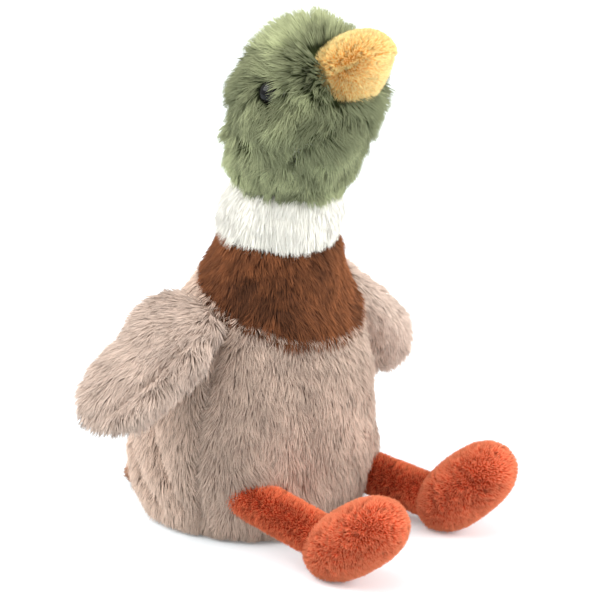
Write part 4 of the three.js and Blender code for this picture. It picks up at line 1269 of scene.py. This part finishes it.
for number, side in enumerate(("right", "left")):
    hip, ankle = joint_place(f"hip_{side}"), joint_place(f"ankle_{side}")
    towards = unit(ankle - hip)
    bend = ("body", hip - towards * LEG_BEND[0], hip + towards * LEG_BEND[1])
    leg_skin = skin_object(f"leg_skin_{side}", capsule_rings(hip, ankle, LEG_RADIUS - LEG_INSET), "rust",
                           f"leg_{side}", [f"leg_cover_{side}"], bend=bend)
    grow(f"leg_pile_{side}", leg_skin, lambda points, normals: towards, length=2.2, seed=700 + number,
         lock=1.1, gather=0.4, mottle=0.3, keep=off_the_floor, fibres="rust_leg", **SHORT_PILE)
    foot_skin = skin_object(f"foot_skin_{side}", foot_rings(side), "rust", f"foot_{side}",
                            [f"foot_cover_{side}"])
    toes = foot_frame(side)[2]
    grow(f"foot_pile_{side}", foot_skin, lambda points, normals: toes + 0.4 * DOWN, length=2.4,
         seed=720 + number, lock=1.2, gather=0.45, mottle=0.22, keep=off_the_floor, **SHORT_PILE)

# %% [markdown]
# The tail is a broad, low pad behind the body. Only a sliver of it shows, so a flattened
# ellipsoid stands for it, with a thinner pile than a closer view would need.

# %% Tail
TAIL_HALF_WIDTH, TAIL_HALF_LENGTH, TAIL_HALF_THICKNESS = 25, 20, 7.5
TAIL_BACK, TAIL_LIFT, TAIL_INSET = 34, 7, 1.8
TAIL_SOLE, TAIL_PILE_FROM = 1.2, 1.4  # mm above the floor


def tail_rings():
    """An ellipsoid, flat below."""
    arc = np.linspace(-np.pi / 2 + 0.04, np.pi / 2 - 0.04, 30)[:, None]
    turn = all_round(96)
    wide = (TAIL_HALF_WIDTH - TAIL_INSET) * np.cos(arc) * np.cos(turn)
    long = (TAIL_HALF_LENGTH - TAIL_INSET) * np.cos(arc) * np.sin(turn)
    high = np.broadcast_to((TAIL_HALF_THICKNESS - TAIL_INSET) * np.sin(arc), wide.shape)
    return np.stack([wide, TAIL_BACK + long, np.maximum(TAIL_LIFT + high, TAIL_SOLE)], -1)


tail_skin = skin_object("tail_skin", tail_rings(), "brown", "body", ["tail"])


def behind_the_body(points, normals):
    """Where the tail shows: further out than the body's cloth, and above the floor."""
    radial = np.hypot(points[:, 0], points[:, 1] - spine(points[:, 2]))
    return (radial > torso_radius(points[:, 2]) - 4) & (points[:, 2] > TAIL_PILE_FROM)


def tail_lay(points, normals):
    """Straight back, a little down, and fanning to the sides."""
    return BACK + 0.3 * DOWN + 0.03 * points[:, :1] * LEFT


grow("tail_pile", tail_skin, tail_lay, length=4.5, per_mm2=3.6, seed=800, width=0.45, lift=(40, 5),
     lock=1.9, gather=0.45, swirl=12, mottle=0.22, keep=behind_the_body, fibres="tail")

# %% [markdown]
# The base panel is a disc of the body's cloth that closes it below. It could carry pile, but the
# floor hides it, so it is a plain disc with a rounded edge.

# %% Base panel
PANEL_RADIUS, PANEL_THICKNESS = 29, 4


def panel_rings():
    """A disc with a rounded edge, flat below."""
    along = np.array([0.0, 0.0, 0.15, 0.8, PANEL_THICKNESS - 0.6, PANEL_THICKNESS])
    radius = PANEL_RADIUS - np.array([6, 1.0, 0.4, 0, 0, 0.6])
    return rings_about(np.zeros(3), -DOWN, along, radius, 96)


skin_object("base_panel_skin", panel_rings(), "taupe", "body", ["base_panel"])

# %% [markdown]
# The photograph is taken on white paper. A lit plane alone would go grey far off. So this one
# gives off a little light of its own, more with distance, that the camera alone sees. Its shadow
# stays soft.

# %% Floor
FLOOR_HALF = 1.5
# Light of its own that the camera alone sees, so that the floor is white and its shadow soft.
FLOOR_LIFT, FAR_LIFT = 0.12, 0.5  # near the duck, and far off
LIFT_FROM, LIFT_TO = 0.25, 0.6  # m from the middle
floor_points = np.array([[-1, -1, 0], [1, -1, 0], [1, 1, 0], [-1, 1, 0]], float) * FLOOR_HALF / MM
floor_mesh = fill_mesh("floor", floor_points, np.array([[0, 1, 2], [0, 2, 3]]))
# Matt paper gives no highlight, only a soft shadow in a nearly even white.
floor_material, tree = new_material("pale_paper_floor")
place = node(tree, "ShaderNodeTexCoord")
paper = node(tree, "ShaderNodeTexNoise", {"Vector": place.outputs["Object"], "Scale": 1 / (2 * MM),
                                          "Detail": 3.0})
tone = node(tree, "ShaderNodeMix", {MIX_FACTOR: paper.outputs["Fac"], MIX_A: linear("#f3fbff"),
                                    MIX_B: linear("#f5fcff")}, data_type="RGBA")
far = node(tree, "ShaderNodeVectorMath", {0: place.outputs["Object"]}, operation="LENGTH")
glow = node(tree, "ShaderNodeMapRange", {"Value": far.outputs["Value"],
                                         "From Min": LIFT_FROM, "From Max": LIFT_TO,
                                         "To Min": FLOOR_LIFT, "To Max": FAR_LIFT})
path = node(tree, "ShaderNodeLightPath")
lift = node(tree, "ShaderNodeMath", {0: path.outputs["Is Camera Ray"], 1: glow.outputs["Result"]},
            operation="MULTIPLY")
shader = node(tree, "ShaderNodeBsdfPrincipled", {
    "Base Color": tone.outputs[MIX_COLOUR], "Roughness": 0.9, "Specular IOR Level": 0.1,
    "Emission Color": linear("#ffffff"), "Emission Strength": lift.outputs[0]})
node(tree, "ShaderNodeOutputMaterial", {"Surface": shader.outputs["BSDF"]})
add_object("floor", floor_mesh, floor_material)
print("floor", 2 * FLOOR_HALF, "m wide")

# %% [markdown]
# The light in the photograph comes from everywhere. A picture of a studio could give it, but an
# even white sky is enough, weaker as light than it looks, so that the lamps still shape the duck.

# %% Sky
SKY = 0.75  # its strength as light; it is 1 where the camera, a reflection or a clear piece shows it
world = bpy.data.worlds.new("studio")
bpy.context.scene.world = world
world.use_nodes = True
tree = world.node_tree
tree.nodes.clear()
path = node(tree, "ShaderNodeLightPath")
seen = node(tree, "ShaderNodeMath", {0: path.outputs["Is Camera Ray"], 1: path.outputs["Is Glossy Ray"]},
            operation="MAXIMUM")
seen = node(tree, "ShaderNodeMath", {0: seen.outputs[0], 1: path.outputs["Is Transmission Ray"]},
            operation="MAXIMUM")
strength = node(tree, "ShaderNodeMapRange", {"Value": seen.outputs[0], "To Min": SKY, "To Max": 1.0})
sky = node(tree, "ShaderNodeBackground", {"Color": linear("#ffffff"), "Strength": strength.outputs["Result"]})
node(tree, "ShaderNodeOutputWorld", {"Surface": sky.outputs["Background"]})
print("sky of strength", SKY)

# %% [markdown]
# Large soft lamps stand to the left, to the right and above. Small ones would draw every fibre's
# shadow hard. They face the duck's middle, and each has the strength that gives the photograph's
# shades.

# %% Lamps


def add_lamp(name, azimuth, elevation, distance, size, power):
    """A square soft lamp that faces the duck's middle."""
    towards, _right, _up = view_axes(math.radians(azimuth), math.radians(elevation))
    data = bpy.data.lights.new(name, "AREA")
    data.size = size
    data.energy = power
    lamp = bpy.data.objects.new(name, data)
    lamp.location = Vector((0, 0, 0.1)) + towards * distance
    lamp.rotation_euler = (-towards).to_track_quat("-Z", "Y").to_euler()
    bpy.context.collection.objects.link(lamp)


# Azimuth and elevation in degrees, distance and size in m, power in W.
LAMPS = {"left_lamp": (-120, 42, 1.1, 0.8, 11.0), "right_lamp": (30, 20, 1.1, 0.8, 11.0),
         "front_lamp": (-60, 65, 1.2, 0.9, 4.5)}
for name, settings in LAMPS.items():
    add_lamp(name, *settings)

bpy.context.scene.view_settings.view_transform = "Standard"
print("lamps:", list(LAMPS))

# %% [markdown]
# Last, the triangles are counted.

# %% Count of triangles
shown = [made for made in bpy.data.objects if made.type == "MESH" and not made.hide_render]
print("triangles in all:", sum(len(made.data.loops) - 2 * len(made.data.polygons) for made in shown))
